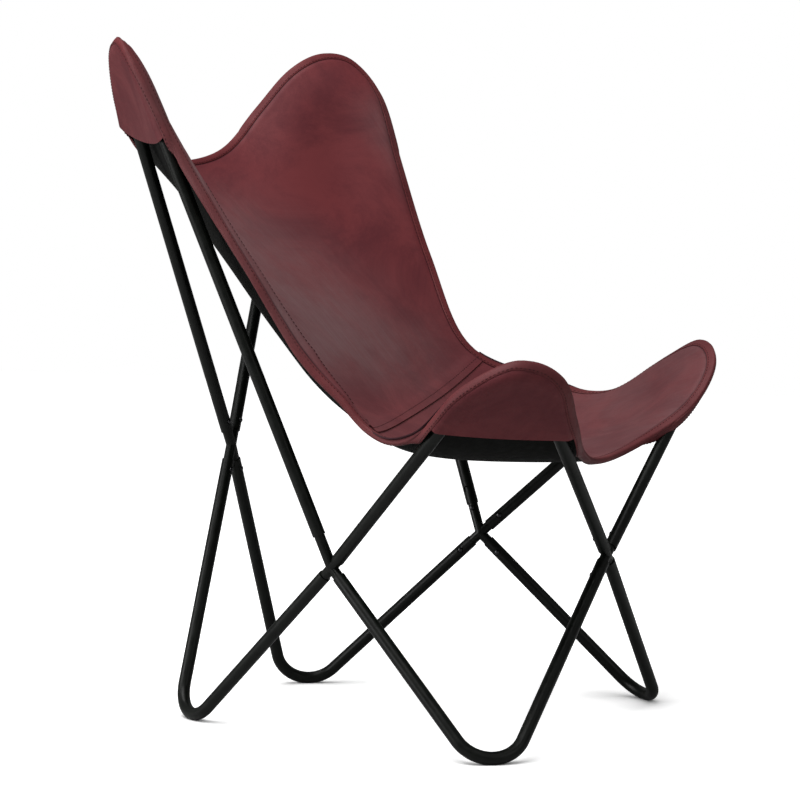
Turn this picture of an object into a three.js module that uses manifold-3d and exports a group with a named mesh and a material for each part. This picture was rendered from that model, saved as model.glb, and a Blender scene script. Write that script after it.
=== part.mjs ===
// Butterfly sling chair: a knock-down frame of eight bent tubes plugged onto four X connectors,
// each arm locked by a sprung snap button, and a leather sling with a pocket over each top bend.
// Millimetres, +Z up, floor at z = 0, the chair faces -Y, left (-X) and right as seen from in front.

import * as THREE from 'three';
import { mergeVertices } from 'three/addons/utils/BufferGeometryUtils.js';
import Module from 'manifold-3d';

const wasm = await Module();
wasm.setup();

// Tube stock
const TUBE_DIAMETER = 16;
const TUBE_WALL = 1.2;
const TUBE_SIDES = 10;
const BEND_STEPS = 7;

// Where the straight legs of each V would meet, as distances from the chair's middle and the floor
const BACK_TOP = { x: 337, y: 289, z: 1039 };
const FRONT_TOP = { x: 350.5, y: -313, z: 506 };
const REAR_FOOT = { x: 157, y: 243 };
const FRONT_FOOT = { x: 275, y: -260.5 };

// Where the tubes cross
const BACK_CROSSING = { y: 246.5, z: 337 };
const FRONT_CROSSING = { y: -284, z: 221.5 };
const SIDE_CROSSING = { x: 218.5, y: -16, z: 213 };

// Bend radii at the middle of the tube, and the flat worn under each foot
const BACK_TOP_BEND = 60;
const FRONT_TOP_BEND = 58;
const FOOT_BEND = 45;
const FOOT_FLAT = 0.8;

// Connectors: thinner tube that slides into the V tubes
const SLIP_CLEARANCE = 0.15;
const CONNECTOR_WALL = 1.2;
const ARM_LENGTH = 66;
const BORE_BOTTOM = 16;
const BORE_SIDES = 8;
const TUBE_END_GAP = 0.4;
const LOOSE_LEG_END = 42;

// Snap buttons and their spring clips
const BUTTON_DISTANCE = 35;
const BUTTON_DIAMETER = 6.5;
const BUTTON_SIDES = 8;
const HOLE_SIDES = 6;
const BUTTON_STAND = 1.5;
const BUTTON_FLANGE_DIAMETER = 8.2;
const BUTTON_FLANGE = 0.8;
const BUTTON_CLEARANCE = 0.3;
const TUBE_HOLE_DIAMETER = 8.5;
const CLIP_WIDTH = 4;
const CLIP_THICKNESS = 0.6;
const CLIP_REACH = 5;
const CLIP_BACK = 15;
const CLIP_STEPS = 4;

// Sling stock: leather, lining and the strip bound over the edge
const LEATHER = 1.8;
const LINING = 0.8;
const BINDING = 1.2;
const BINDING_WIDTH = 15;
const BINDING_TURN = 2.6;
const CLOTH_GAP = 0.3;
const POCKET_GAP = 0.8;
const SEAM_GAP = 0.4;

// Pockets: flat hem, rise to full depth, and spare room round the tube
const POCKET_HEM = 4;
const POCKET_RAMP = 12;
const POCKET_FULLNESS = 3;
const POCKET_EASE = 1;
const POCKET_CONTACT = 12;
const POCKET_ROWS = [{ reach: 2, share: 0.15 }, { reach: 6, share: 0.3 }, { reach: 12, share: 0.5 }];

// How the leather rises over a tube that lies against it
const DRAPE_SPREAD = 40;
const DRAPE_REACH = 120;
const DRAPE_MARGIN = 3.5;
const AXIS_STEP = 10;

// Hang of the sling: along its middle line (s, front to back) the slope of that line, and how far
// the leather has turned up sideways at two distances from the line, in degrees
const HANG_ANCHOR = { s: 300, y: -120, z: 348 };
const HANG_INNER = 150;
const HANG = [
  { s: -100, slope: -42, inner: 37.5, outer: 59.5 },
  { s: 40, slope: -8, inner: 27.5, outer: 53 },
  { s: 170, slope: -3, inner: 13, outer: 37 },
  { s: 300, slope: 12.5, inner: 3.5, outer: 30 },
  { s: 400, slope: 31, inner: 6, outer: 45 },
  { s: 500, slope: 46.5, inner: 7, outer: 44.5 },
  { s: 650, slope: 41, inner: 12.5, outer: 42.5 },
  { s: 850, slope: 41, inner: 28, outer: 40.5 },
  { s: 1040, slope: 45.5, inner: 45, outer: 44 },
];
const HANG_STEP = 2;
const ACROSS_STEPS = 12;

// Cut of the sling, half of it from the front middle to the top middle: distance along (s), half
// width, and how far the hanging sling has slipped to the right
const CUT = [
  [147, 0, 0], [117, 117, 0], [90, 213, 0], [80, 288, 2], [118, 344, 3], [193, 351, 6],
  [259, 320, 18], [326, 299, 28], [407, 279, 7], [507, 269, -13], [625, 304, -10], [749, 338, 3],
  [843, 373, 4], [906, 371, 2], [936, 335, 0], [940, 274, 0], [920, 199, 0], [891, 109, 0],
  [890, 0, 0],
];

// Marks along the half cut, counted in its points: pocket ends, lobe tips and the two seam ends
const MARK = {
  frontMiddle: 0,
  frontPocketFront: 1.35,
  frontTip: 3.6,
  frontPocketSide: 6,
  seamRight: 8.55,
  seamLeft: 7.3,
  backPocketSide: 11.2,
  backTip: 13.5,
  backPocketTop: 16.85,
  topMiddle: 18,
};
const OUTLINE_SAMPLES = 360;
const CELLS = { middle: 4, tipAcross: 5, tipAlong: 5, seatSide: 4, backSide: 5, backTip: 5 };

const LEFT = -1;
const RIGHT = 1;
const FULL_TURN = 2 * Math.PI;
const MERGE_DISTANCE = 1e-4;
const FOOT_PASSES = 12;
const CUTTER_SIZE = 200;

const tubeRadius = TUBE_DIAMETER / 2;
const armRadius = tubeRadius - TUBE_WALL - SLIP_CLEARANCE;
const boreRadius = armRadius - CONNECTOR_WALL;
const roundOver = (sides) => 1 / Math.cos(Math.PI / sides);

const vec = (x, y, z) => new THREE.Vector3(x, y, z);

// Materials
const finish = (color, roughness, metalness) => new THREE.MeshStandardMaterial({ color, roughness, metalness });
const frameCoat = () => finish(0x151517, 0.42, 0.3);
const connectorCoat = () => finish(0x19191b, 0.36, 0.4);
const buttonSteel = () => finish(0x8d8f92, 0.3, 0.9);
const springSteel = () => finish(0x6f7276, 0.35, 0.9);
const leather = () => finish(0x5a2a2e, 0.5, 0);
const bindingLeather = () => finish(0x5e2c30, 0.5, 0);
const liningCloth = () => finish(0x141314, 0.95, 0);

// Solids: closed meshes joined and cut
function solidOf(geometry) {
  const bare = geometry.clone();
  bare.deleteAttribute('normal');
  bare.deleteAttribute('uv');
  const merged = mergeVertices(bare, MERGE_DISTANCE);
  const vertProperties = Float32Array.from(merged.attributes.position.array);
  const triVerts = Uint32Array.from(merged.index.array);
  return new wasm.Manifold(new wasm.Mesh({ numProp: 3, vertProperties, triVerts }));
}

function geometryOf(solid) {
  const mesh = solid.getMesh();
  const geometry = new THREE.BufferGeometry();
  geometry.setAttribute('position', new THREE.BufferAttribute(mesh.vertProperties, 3));
  geometry.setIndex(new THREE.BufferAttribute(mesh.triVerts, 1));
  geometry.computeVertexNormals();
  return geometry;
}

function closedGeometry(points, triangles) {
  const volume = triangles.reduce((sum, [a, b, c]) => {
    const cross = points[b].clone().cross(points[c]);
    return sum + points[a].dot(cross);
  }, 0);
  const turned = volume < 0 ? triangles.map(([a, b, c]) => [a, c, b]) : triangles;
  const geometry = new THREE.BufferGeometry().setFromPoints(points);
  geometry.setIndex(turned.flat());
  geometry.computeVertexNormals();
  return geometry;
}

function outward(geometry) {
  const bare = geometry.clone();
  bare.deleteAttribute('normal');
  bare.deleteAttribute('uv');
  const merged = mergeVertices(bare, MERGE_DISTANCE);
  const position = merged.attributes.position;
  const points = [];
  for (let i = 0; i < position.count; i += 1) points.push(vec().fromBufferAttribute(position, i));
  const index = Array.from(merged.index.array);
  const triangles = [];
  for (let i = 0; i < index.length; i += 3) {
    const [a, b, c] = index.slice(i, i + 3);
    if (a !== b && b !== c && c !== a) triangles.push([a, b, c]);
  }
  return closedGeometry(points, triangles);
}

function named(name, geometry, material) {
  const mesh = new THREE.Mesh(geometry, material);
  mesh.name = name;
  return mesh;
}

// A round bar along local X, from one distance to another
function barAlongX(radius, from, to, sides) {
  const bar = new THREE.CylinderGeometry(radius, radius, to - from, sides);
  bar.rotateZ(-Math.PI / 2);
  bar.translate((from + to) / 2, 0, 0);
  return bar;
}

// The path of a V tube: leg, round bend, leg, one step to each leg and even steps round the bend
class FoldedRod extends THREE.Curve {
  constructor(start, corner, end, radius) {
    super();
    const toStart = start.clone().sub(corner).normalize();
    const toEnd = end.clone().sub(corner).normalize();
    const half = toStart.angleTo(toEnd) / 2;
    const inward = toStart.clone().add(toEnd).normalize();
    const across = toStart.clone().addScaledVector(inward, -toStart.dot(inward)).normalize();
    const centre = corner.clone().addScaledVector(inward, radius / Math.sin(half));
    const sweep = Math.PI / 2 - half;
    this.stations = [start];
    for (let i = 0; i <= BEND_STEPS; i += 1) {
      const angle = sweep * (1 - (2 * i) / BEND_STEPS);
      const point = centre.clone().addScaledVector(inward, -radius * Math.cos(angle));
      this.stations.push(point.addScaledVector(across, radius * Math.sin(angle)));
    }
    this.stations.push(end);
    const drop = Math.hypot(inward.z, across.z);
    this.lowest = centre.z - radius * drop;
  }

  getPoint(t, target = new THREE.Vector3()) {
    const last = this.stations.length - 1;
    const along = Math.min(Math.max(t, 0), 1) * last;
    const i = Math.min(Math.floor(along), last - 1);
    return target.lerpVectors(this.stations[i], this.stations[i + 1], along - i);
  }

  getPointAt(u, target) {
    return this.getPoint(u, target);
  }

  getTangentAt(u, target) {
    return this.getTangent(u, target);
  }

  // Points along the tube's middle, no further apart than one axis step
  axis() {
    const points = [];
    for (let i = 0; i + 1 < this.stations.length; i += 1) {
      const [from, to] = [this.stations[i], this.stations[i + 1]];
      const steps = Math.ceil(from.distanceTo(to) / AXIS_STEP);
      for (let k = 0; k < steps; k += 1) points.push(from.clone().lerp(to, k / steps));
    }
    return points;
  }
}

// Frame layout
const backTop = (side) => vec(side * BACK_TOP.x, BACK_TOP.y, BACK_TOP.z);
const frontTop = (side) => vec(side * FRONT_TOP.x, FRONT_TOP.y, FRONT_TOP.z);
const backCentre = vec(0, BACK_CROSSING.y, BACK_CROSSING.z);
const frontCentre = vec(0, FRONT_CROSSING.y, FRONT_CROSSING.z);
const sideCentre = (side) => vec(side * SIDE_CROSSING.x, SIDE_CROSSING.y, SIDE_CROSSING.z);

// A foot's corner is lowered until the underside of its bend stands on the floor
function footCorner(side, foot, crossing) {
  const corner = vec(side * foot.x, foot.y, 0);
  for (let pass = 0; pass < FOOT_PASSES; pass += 1) {
    const rod = new FoldedRod(crossing, corner, sideCentre(side), FOOT_BEND);
    corner.z -= rod.lowest - tubeRadius + FOOT_FLAT;
  }
  return corner;
}
const rearFoot = (side) => footCorner(side, REAR_FOOT, backCentre);
const frontFoot = (side) => footCorner(side, FRONT_FOOT, frontCentre);

function crossing(name, centre, corners) {
  const inward = vec(-centre.x, 0, 0);
  if (centre.x === 0) inward.set(0, -centre.y, 0);
  inward.normalize();
  const arms = {};
  for (const [arm, corner] of Object.entries(corners)) {
    const along = corner.clone().sub(centre).normalize();
    const press = inward.clone().addScaledVector(along, -inward.dot(along)).normalize();
    const basis = new THREE.Matrix4().makeBasis(along, press, along.clone().cross(press));
    arms[arm] = { name: arm, along, press, turn: new THREE.Quaternion().setFromRotationMatrix(basis) };
  }
  const directions = Object.values(arms).map((arm) => arm.along);
  let narrowest = Math.PI;
  directions.forEach((a, i) => directions.slice(i + 1).forEach((b) => {
    narrowest = Math.min(narrowest, a.angleTo(b));
  }));
  const seat = (tubeRadius + TUBE_END_GAP / 2) / Math.sin(narrowest / 2);
  for (const arm of Object.values(arms)) arm.tubeEnd = seat;
  return { name, centre, arms, seat };
}

const crossings = {
  back: crossing('back', backCentre, {
    upper_left: backTop(LEFT),
    upper_right: backTop(RIGHT),
    lower_left: rearFoot(LEFT),
    lower_right: rearFoot(RIGHT),
  }),
  front: crossing('front', frontCentre, {
    upper_left: frontTop(LEFT),
    upper_right: frontTop(RIGHT),
    lower_left: frontFoot(LEFT),
    lower_right: frontFoot(RIGHT),
  }),
  left: crossing('left', sideCentre(LEFT), {
    upper_back: backTop(LEFT),
    upper_front: frontTop(LEFT),
    lower_back: rearFoot(LEFT),
    lower_front: frontFoot(LEFT),
  }),
  right: crossing('right', sideCentre(RIGHT), {
    upper_back: backTop(RIGHT),
    upper_front: frontTop(RIGHT),
    lower_back: rearFoot(RIGHT),
    lower_front: frontFoot(RIGHT),
  }),
};

// The two side legs of the back tubes stand off their seats, with their buttons still in the open
crossings.left.arms.upper_back.tubeEnd = LOOSE_LEG_END;
crossings.right.arms.upper_back.tubeEnd = LOOSE_LEG_END;

const tubeEndPoint = ({ centre }, arm) => centre.clone().addScaledVector(arm.along, arm.tubeEnd);

// V tubes
function tubeSection() {
  const section = new THREE.Shape().absarc(0, 0, tubeRadius, 0, FULL_TURN, false);
  const bore = (tubeRadius - TUBE_WALL) * roundOver(TUBE_SIDES);
  section.holes.push(new THREE.Path().absarc(0, 0, bore, 0, FULL_TURN, true));
  return section;
}

function buttonHole(where, arm) {
  const radius = (TUBE_HOLE_DIAMETER / 2) * roundOver(HOLE_SIDES);
  const cutter = new THREE.CylinderGeometry(radius, radius, TUBE_DIAMETER, HOLE_SIDES);
  const distance = BUTTON_DISTANCE + arm.tubeEnd - where.seat;
  cutter.translate(distance, tubeRadius, 0);
  cutter.applyQuaternion(arm.turn);
  cutter.translate(...where.centre);
  return solidOf(cutter);
}

function vTube(name, corner, radius, ends) {
  const [start, end] = ends.map(([where, arm]) => tubeEndPoint(where, arm));
  const rod = new FoldedRod(start, corner, end, radius);
  const steps = rod.stations.length - 1;
  const geometry = new THREE.ExtrudeGeometry(tubeSection(), {
    steps, extrudePath: rod, curveSegments: TUBE_SIDES / 2,
  });
  let solid = solidOf(outward(geometry));
  for (const [where, arm] of ends) solid = solid.subtract(buttonHole(where, arm));
  const floor = new THREE.BoxGeometry(CUTTER_SIZE, CUTTER_SIZE, CUTTER_SIZE);
  floor.translate(corner.x, corner.y, -CUTTER_SIZE / 2);
  if (rod.lowest < tubeRadius) solid = solid.subtract(solidOf(floor));
  return { rod, mesh: named(name, geometryOf(solid), frameCoat()) };
}

const { back, front, left, right } = crossings;
const topTubes = [
  vTube('back_left_top_tube', backTop(LEFT), BACK_TOP_BEND,
    [[back, back.arms.upper_left], [left, left.arms.upper_back]]),
  vTube('back_right_top_tube', backTop(RIGHT), BACK_TOP_BEND,
    [[back, back.arms.upper_right], [right, right.arms.upper_back]]),
  vTube('front_left_top_tube', frontTop(LEFT), FRONT_TOP_BEND,
    [[left, left.arms.upper_front], [front, front.arms.upper_left]]),
  vTube('front_right_top_tube', frontTop(RIGHT), FRONT_TOP_BEND,
    [[right, right.arms.upper_front], [front, front.arms.upper_right]]),
];
const footTubes = [
  vTube('rear_left_foot_tube', rearFoot(LEFT), FOOT_BEND,
    [[back, back.arms.lower_left], [left, left.arms.lower_back]]),
  vTube('rear_right_foot_tube', rearFoot(RIGHT), FOOT_BEND,
    [[back, back.arms.lower_right], [right, right.arms.lower_back]]),
  vTube('front_left_foot_tube', frontFoot(LEFT), FOOT_BEND,
    [[left, left.arms.lower_front], [front, front.arms.lower_left]]),
  vTube('front_right_foot_tube', frontFoot(RIGHT), FOOT_BEND,
    [[right, right.arms.lower_front], [front, front.arms.lower_right]]),
];

// Connectors: four arms welded at the crossing, bored from their ends, each with a button hole
function connector(where) {
  const arms = Object.values(where.arms);
  const bars = arms.map((arm) => {
    const bar = barAlongX(armRadius, -armRadius / 2, ARM_LENGTH, TUBE_SIDES);
    return solidOf(bar.applyQuaternion(arm.turn));
  });
  let solid = bars.reduce((joined, bar) => joined.add(bar));
  const holeRadius = (BUTTON_DIAMETER / 2 + BUTTON_CLEARANCE) * roundOver(HOLE_SIDES);
  for (const arm of arms) {
    const past = ARM_LENGTH + TUBE_DIAMETER;
    const bore = barAlongX(boreRadius * roundOver(BORE_SIDES), BORE_BOTTOM, past, BORE_SIDES);
    solid = solid.subtract(solidOf(bore.applyQuaternion(arm.turn)));
    const hole = new THREE.CylinderGeometry(holeRadius, holeRadius, TUBE_DIAMETER, HOLE_SIDES);
    hole.translate(BUTTON_DISTANCE, tubeRadius, 0);
    solid = solid.subtract(solidOf(hole.applyQuaternion(arm.turn)));
  }
  const mesh = named(`${where.name}_connector`, geometryOf(solid), connectorCoat());
  mesh.position.copy(where.centre);
  return mesh;
}

// Snap button, pointing along local Y from the middle of its arm
const flangeTop = Math.sqrt(boreRadius ** 2 - (BUTTON_FLANGE_DIAMETER / 2) ** 2) - BUTTON_CLEARANCE;
const flangeBottom = flangeTop - BUTTON_FLANGE;

function snapButton(where, arm) {
  const radius = BUTTON_DIAMETER / 2;
  const top = tubeRadius + BUTTON_STAND;
  const flange = BUTTON_FLANGE_DIAMETER / 2;
  const shoulder = top - BUTTON_STAND;
  const profile = [
    new THREE.Vector2(0, flangeBottom),
    new THREE.Vector2(flange, flangeBottom),
    new THREE.Vector2(flange, flangeTop),
    new THREE.Vector2(radius, flangeTop),
    new THREE.Vector2(radius, shoulder),
    new THREE.Vector2(radius * Math.SQRT1_2, shoulder + BUTTON_STAND * Math.SQRT1_2),
    new THREE.Vector2(0, top),
  ];
  const button = outward(new THREE.LatheGeometry(profile, BUTTON_SIDES));
  const mesh = named(`snap_button_${where.name}_${arm.name}`, button, buttonSteel());
  mesh.position.set(BUTTON_DISTANCE, 0, 0);
  return mesh;
}

// Spring clip: a strip bent back on itself, one leaf on the bore wall and one under the button
function springClip(where, arm) {
  const under = flangeBottom - BUTTON_CLEARANCE - CLIP_THICKNESS / 2;
  const wall = Math.sqrt(boreRadius ** 2 - (CLIP_WIDTH / 2) ** 2) - BUTTON_CLEARANCE - CLIP_THICKNESS / 2;
  const middle = (under - wall) / 2;
  const rise = (under + wall) / 2;
  const open = BUTTON_DISTANCE + CLIP_REACH;
  const bend = BUTTON_DISTANCE - CLIP_BACK + rise;
  const outer = [new THREE.Vector2(open, under + CLIP_THICKNESS / 2)];
  const inner = [new THREE.Vector2(open, under - CLIP_THICKNESS / 2)];
  for (let i = 0; i <= CLIP_STEPS; i += 1) {
    const angle = Math.PI / 2 + (Math.PI * i) / CLIP_STEPS;
    const direction = new THREE.Vector2(Math.cos(angle), Math.sin(angle));
    const centre = new THREE.Vector2(bend, middle);
    outer.push(direction.clone().multiplyScalar(rise + CLIP_THICKNESS / 2).add(centre));
    inner.push(direction.clone().multiplyScalar(rise - CLIP_THICKNESS / 2).add(centre));
  }
  outer.push(new THREE.Vector2(open, -wall - CLIP_THICKNESS / 2));
  inner.push(new THREE.Vector2(open, -wall + CLIP_THICKNESS / 2));
  const strip = new THREE.Shape([...outer, ...inner.reverse()]);
  const geometry = new THREE.ExtrudeGeometry(strip, { depth: CLIP_WIDTH, bevelEnabled: false });
  geometry.translate(0, 0, -CLIP_WIDTH / 2);
  return named(`spring_clip_${where.name}_${arm.name}`, outward(geometry), springSteel());
}

// Sling surface
function hermite(xs, ys) {
  const last = xs.length - 1;
  const tangent = ys.map((_, i) => {
    const before = Math.max(i - 1, 0);
    const after = Math.min(i + 1, last);
    return (ys[after] - ys[before]) / (xs[after] - xs[before]);
  });
  return (x) => {
    const at = Math.min(Math.max(x, xs[0]), xs[last]);
    let i = 0;
    while (i < last - 1 && at > xs[i + 1]) i += 1;
    const h = xs[i + 1] - xs[i];
    const t = (at - xs[i]) / h;
    const u = 1 - t;
    return (1 + 2 * t) * u * u * ys[i] + t * u * u * h * tangent[i]
      + t * t * (3 - 2 * t) * ys[i + 1] - t * t * u * h * tangent[i + 1];
  };
}

const hangStations = HANG.map((row) => row.s);
const hangCurve = (key) => hermite(hangStations, HANG.map((row) => THREE.MathUtils.degToRad(row[key])));
const slopeAt = hangCurve('slope');
const innerTurn = hangCurve('inner');
const outerTurn = hangCurve('outer');

// The middle line at a distance s: its slope summed in short steps from the anchor
function middleLine(s) {
  const steps = Math.max(1, Math.ceil(Math.abs(s - HANG_ANCHOR.s) / HANG_STEP));
  const ds = (s - HANG_ANCHOR.s) / steps;
  let { y, z } = HANG_ANCHOR;
  for (let i = 0; i < steps; i += 1) {
    const slope = slopeAt(HANG_ANCHOR.s + (i + 0.5) * ds);
    y += Math.cos(slope) * ds;
    z += Math.sin(slope) * ds;
  }
  return { y, z, slope: slopeAt(s) };
}

// Turn of the leather at a distance from the middle line, a cubic through the two given turns
function turnAt(s, across) {
  const u = across / HANG_INNER;
  const [inner, outer] = [innerTurn(s), outerTurn(s)];
  const cubic = (outer - 2 * inner) / 6;
  return (inner - cubic) * u + cubic * u ** 3;
}

function hangingPoint(s, w) {
  const across = Math.abs(w);
  const side = Math.sign(w);
  const { y, z, slope } = middleLine(s);
  let out = 0;
  let up = 0;
  for (let i = 0; i < ACROSS_STEPS; i += 1) {
    const turn = turnAt(s, (across * (i + 0.5)) / ACROSS_STEPS);
    out += (Math.cos(turn) * across) / ACROSS_STEPS;
    up += (Math.sin(turn) * across) / ACROSS_STEPS;
  }
  const turn = turnAt(s, across) * side;
  const point = vec(side * out, y - Math.sin(slope) * up, z + Math.cos(slope) * up);
  const normal = vec(-Math.sin(turn), -Math.sin(slope) * Math.cos(turn), Math.cos(slope) * Math.cos(turn));
  return { point, normal };
}

// Layers of the sling, as heights along the surface normal
const panelTop = 0;
const panelBottom = panelTop - LEATHER;
const liningTop = panelBottom - CLOTH_GAP;
const liningBottom = liningTop - LINING;
const pocketTop = liningBottom - POCKET_GAP;
const pocketBottom = pocketTop - LEATHER;
const bindingOver = { under: panelTop + CLOTH_GAP, over: panelTop + CLOTH_GAP + BINDING };
const bindingUnder = { over: pocketBottom - CLOTH_GAP, under: pocketBottom - CLOTH_GAP - BINDING };

const tubeAxes = topTubes.map(({ rod }) => rod.axis());

// Height of a tube's middle over a surface point, and its distance along the surface
function tubesNear({ point, normal }, axes, reach) {
  const near = [];
  for (const centre of axes.flat()) {
    const away = centre.clone().sub(point);
    const height = away.dot(normal);
    const aside = Math.sqrt(Math.max(away.lengthSq() - height * height, 0));
    if (aside < reach) near.push({ height, aside });
  }
  return near;
}

// The leather rises where a tube lies against its underside
function lift(at) {
  const clear = tubeRadius + CLOTH_GAP - liningBottom + DRAPE_MARGIN;
  const rises = tubesNear(at, tubeAxes, DRAPE_REACH).map(({ height, aside }) => {
    const rise = Math.max(height + clear, 0);
    return rise * Math.exp(-((aside / DRAPE_SPREAD) ** 2));
  });
  return Math.max(0, ...rises);
}

const draped = new Map();
function drapedPoint({ s, w }) {
  const key = `${s},${w}`;
  if (!draped.has(key)) {
    const at = hangingPoint(s, w);
    const raised = lift(at);
    draped.set(key, { point: at.point.addScaledVector(at.normal, raised), normal: at.normal });
  }
  return draped.get(key);
}

function layerPoint(place, height) {
  const { point, normal } = drapedPoint(place);
  return point.clone().addScaledVector(normal, height);
}

// Cut outline: a closed curve in the flat, right half first, and places inset from it
const rightHalf = CUT.map(([s, half, slip]) => vec(s, half + slip, 0));
const leftHalf = CUT.slice(1, -1).map(([s, half, slip]) => vec(s, slip - half, 0)).reverse();
const outline = new THREE.CatmullRomCurve3([...rightHalf, ...leftHalf], true, 'catmullrom', 0.5);
const loopPoints = rightHalf.length + leftHalf.length;
const outlineSamples = outline.getPoints(OUTLINE_SAMPLES);
const outlineEdges = outlineSamples.slice(1).map((point, i) => new THREE.Line3(outlineSamples[i], point));

function inset(mark, distance) {
  const t = THREE.MathUtils.euclideanModulo(mark / loopPoints, 1);
  const edge = outline.getPoint(t);
  const tangent = outline.getTangent(t);
  return { s: edge.x + tangent.y * distance, w: edge.y - tangent.x * distance };
}

const edgeDistance = ({ s, w }) => {
  const here = vec(s, w, 0);
  const nearest = new THREE.Vector3();
  const away = outlineEdges.map((edge) => edge.closestPointToPoint(here, true, nearest).distanceTo(here));
  return Math.min(...away);
};

// Stations along one side of the outline, from mark to mark with even cells between
function stations(marks, cells, side) {
  const turned = side === LEFT ? (mark) => loopPoints - mark : (mark) => mark;
  const list = [turned(marks[0])];
  cells.forEach((count, i) => {
    for (let k = 1; k <= count; k += 1) {
      list.push(turned(THREE.MathUtils.lerp(marks[i], marks[i + 1], k / count)));
    }
  });
  return list;
}

const seamMark = (side) => (side === LEFT ? MARK.seamLeft : MARK.seamRight);
const frontStations = (side) => stations(
  [MARK.frontMiddle, MARK.frontPocketFront, MARK.frontTip], [CELLS.middle, CELLS.tipAcross], side);
const seatStations = (side) => stations(
  [MARK.frontTip, MARK.frontPocketSide, seamMark(side)], [CELLS.tipAlong, CELLS.seatSide], side);
const backStations = (side) => stations(
  [seamMark(side), MARK.backPocketSide, MARK.backTip], [CELLS.backSide, CELLS.backTip], side);
const topStations = (side) => stations(
  [MARK.topMiddle, MARK.backPocketTop, MARK.backTip], [CELLS.middle, CELLS.tipAcross], side);

const acrossFront = [...frontStations(LEFT).reverse(), ...frontStations(RIGHT).slice(1)];
const acrossTop = [...topStations(LEFT).reverse(), ...topStations(RIGHT).slice(1)];
const columns = acrossFront.length - 1;
const hemPlace = (mark) => inset(mark, BINDING_WIDTH);
const rimPlace = (mark) => inset(mark, BINDING + CLOTH_GAP);

const { lerp } = THREE.MathUtils;
const mixPlaces = (a, b, t) => ({ s: lerp(a.s, b.s, t), w: lerp(a.w, b.w, t) });
const seamEnds = [hemPlace(stations([MARK.seamLeft], [], LEFT)[0]), hemPlace(MARK.seamRight)];
const seamRow = Array.from({ length: columns + 1 }, (_, i) => mixPlaces(...seamEnds, i / columns));

// Rows of places between two boundary rows and two boundary sides
function patchRows(bottom, top, leftSide, rightSide) {
  const rows = leftSide.length - 1;
  return leftSide.map((leftEnd, j) => bottom.map((low, i) => {
    const u = i / columns;
    const v = j / rows;
    const blend = (key) => {
      const ruled = (1 - v) * low[key] + v * top[i][key];
      const spanned = (1 - u) * leftEnd[key] + u * rightSide[j][key];
      const corners = (1 - v) * ((1 - u) * bottom[0][key] + u * bottom[columns][key])
        + v * ((1 - u) * top[0][key] + u * top[columns][key]);
      return ruled + spanned - corners;
    };
    return { s: blend('s'), w: blend('w') };
  }));
}

const seatRows = patchRows(acrossFront.map(hemPlace), seamRow,
  seatStations(LEFT).map(hemPlace), seatStations(RIGHT).map(hemPlace));
const backRows = patchRows(seamRow, acrossTop.map(hemPlace),
  backStations(LEFT).map(hemPlace), backStations(RIGHT).map(hemPlace));

// A flat pattern: places and triangles, with a rim strip joined to the given border places
class Pattern {
  constructor() {
    this.places = [];
    this.triangles = [];
  }

  add(place) {
    this.places.push(place);
    return this.places.length - 1;
  }

  quad(a, b, c, d) {
    if (a !== b && b !== c && c !== a) this.triangles.push([a, b, c]);
    if (a !== c && c !== d && d !== a) this.triangles.push([a, c, d]);
  }

  grid(rows) {
    const index = rows.map((row) => row.map((place) => this.add(place)));
    for (let j = 0; j + 1 < index.length; j += 1) {
      for (let i = 0; i + 1 < index[j].length; i += 1) {
        this.quad(index[j][i], index[j][i + 1], index[j + 1][i + 1], index[j + 1][i]);
      }
    }
    return index;
  }

  rim(border, places, closed) {
    const outer = places.map((place) => this.add(place));
    const last = closed ? border.length : border.length - 1;
    for (let i = 0; i < last; i += 1) {
      const k = (i + 1) % border.length;
      this.quad(border[i], outer[i], outer[k], border[k]);
    }
  }

  // The pattern given its thickness and hung: upper and lower heights may change from place to place
  hang(upper, lower) {
    const count = this.places.length;
    const points = [
      ...this.places.map((place) => layerPoint(place, upper(place))),
      ...this.places.map((place) => layerPoint(place, lower(place))),
    ];
    const triangles = [];
    const borders = new Map();
    for (const [a, b, c] of this.triangles) {
      triangles.push([a, b, c], [a + count, c + count, b + count]);
      for (const [p, q] of [[a, b], [b, c], [c, a]]) {
        if (!borders.delete(`${q},${p}`)) borders.set(`${p},${q}`, [p, q]);
      }
    }
    for (const [p, q] of borders.values()) {
      triangles.push([p, p + count, q + count], [p, q + count, q]);
    }
    return closedGeometry(points, triangles);
  }
}

// Border of a block of rows, from its left top down, across the bottom and up on the right
function sidesAndBottom(index) {
  const leftDown = index.map((row) => row[0]).reverse();
  const rightUp = index.map((row) => row[columns]);
  return [...leftDown, ...index[0].slice(1, columns), ...rightUp];
}

function sidesAndTop(index) {
  const last = index.length - 1;
  const leftUp = index.map((row) => row[0]);
  const rightDown = index.map((row) => row[columns]).reverse();
  return [...leftUp, ...index[last].slice(1, columns), ...rightDown];
}

const seatLoop = [...seatStations(LEFT).reverse(), ...acrossFront.slice(1, columns), ...seatStations(RIGHT)];
const backLoop = [...backStations(LEFT), ...acrossTop.slice(1, columns), ...backStations(RIGHT).reverse()];
const moved = (place, distance) => ({ s: place.s + distance, w: place.w });

function seatPattern() {
  const pattern = new Pattern();
  const rows = [...seatRows.slice(0, -1), seamRow.map((place) => moved(place, -SEAM_GAP / 2))];
  const rim = seatLoop.map(rimPlace);
  rim[0] = moved(rim[0], -SEAM_GAP / 2);
  rim[rim.length - 1] = moved(rim[rim.length - 1], -SEAM_GAP / 2);
  pattern.rim(sidesAndBottom(pattern.grid(rows)), rim, false);
  return pattern;
}

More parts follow.
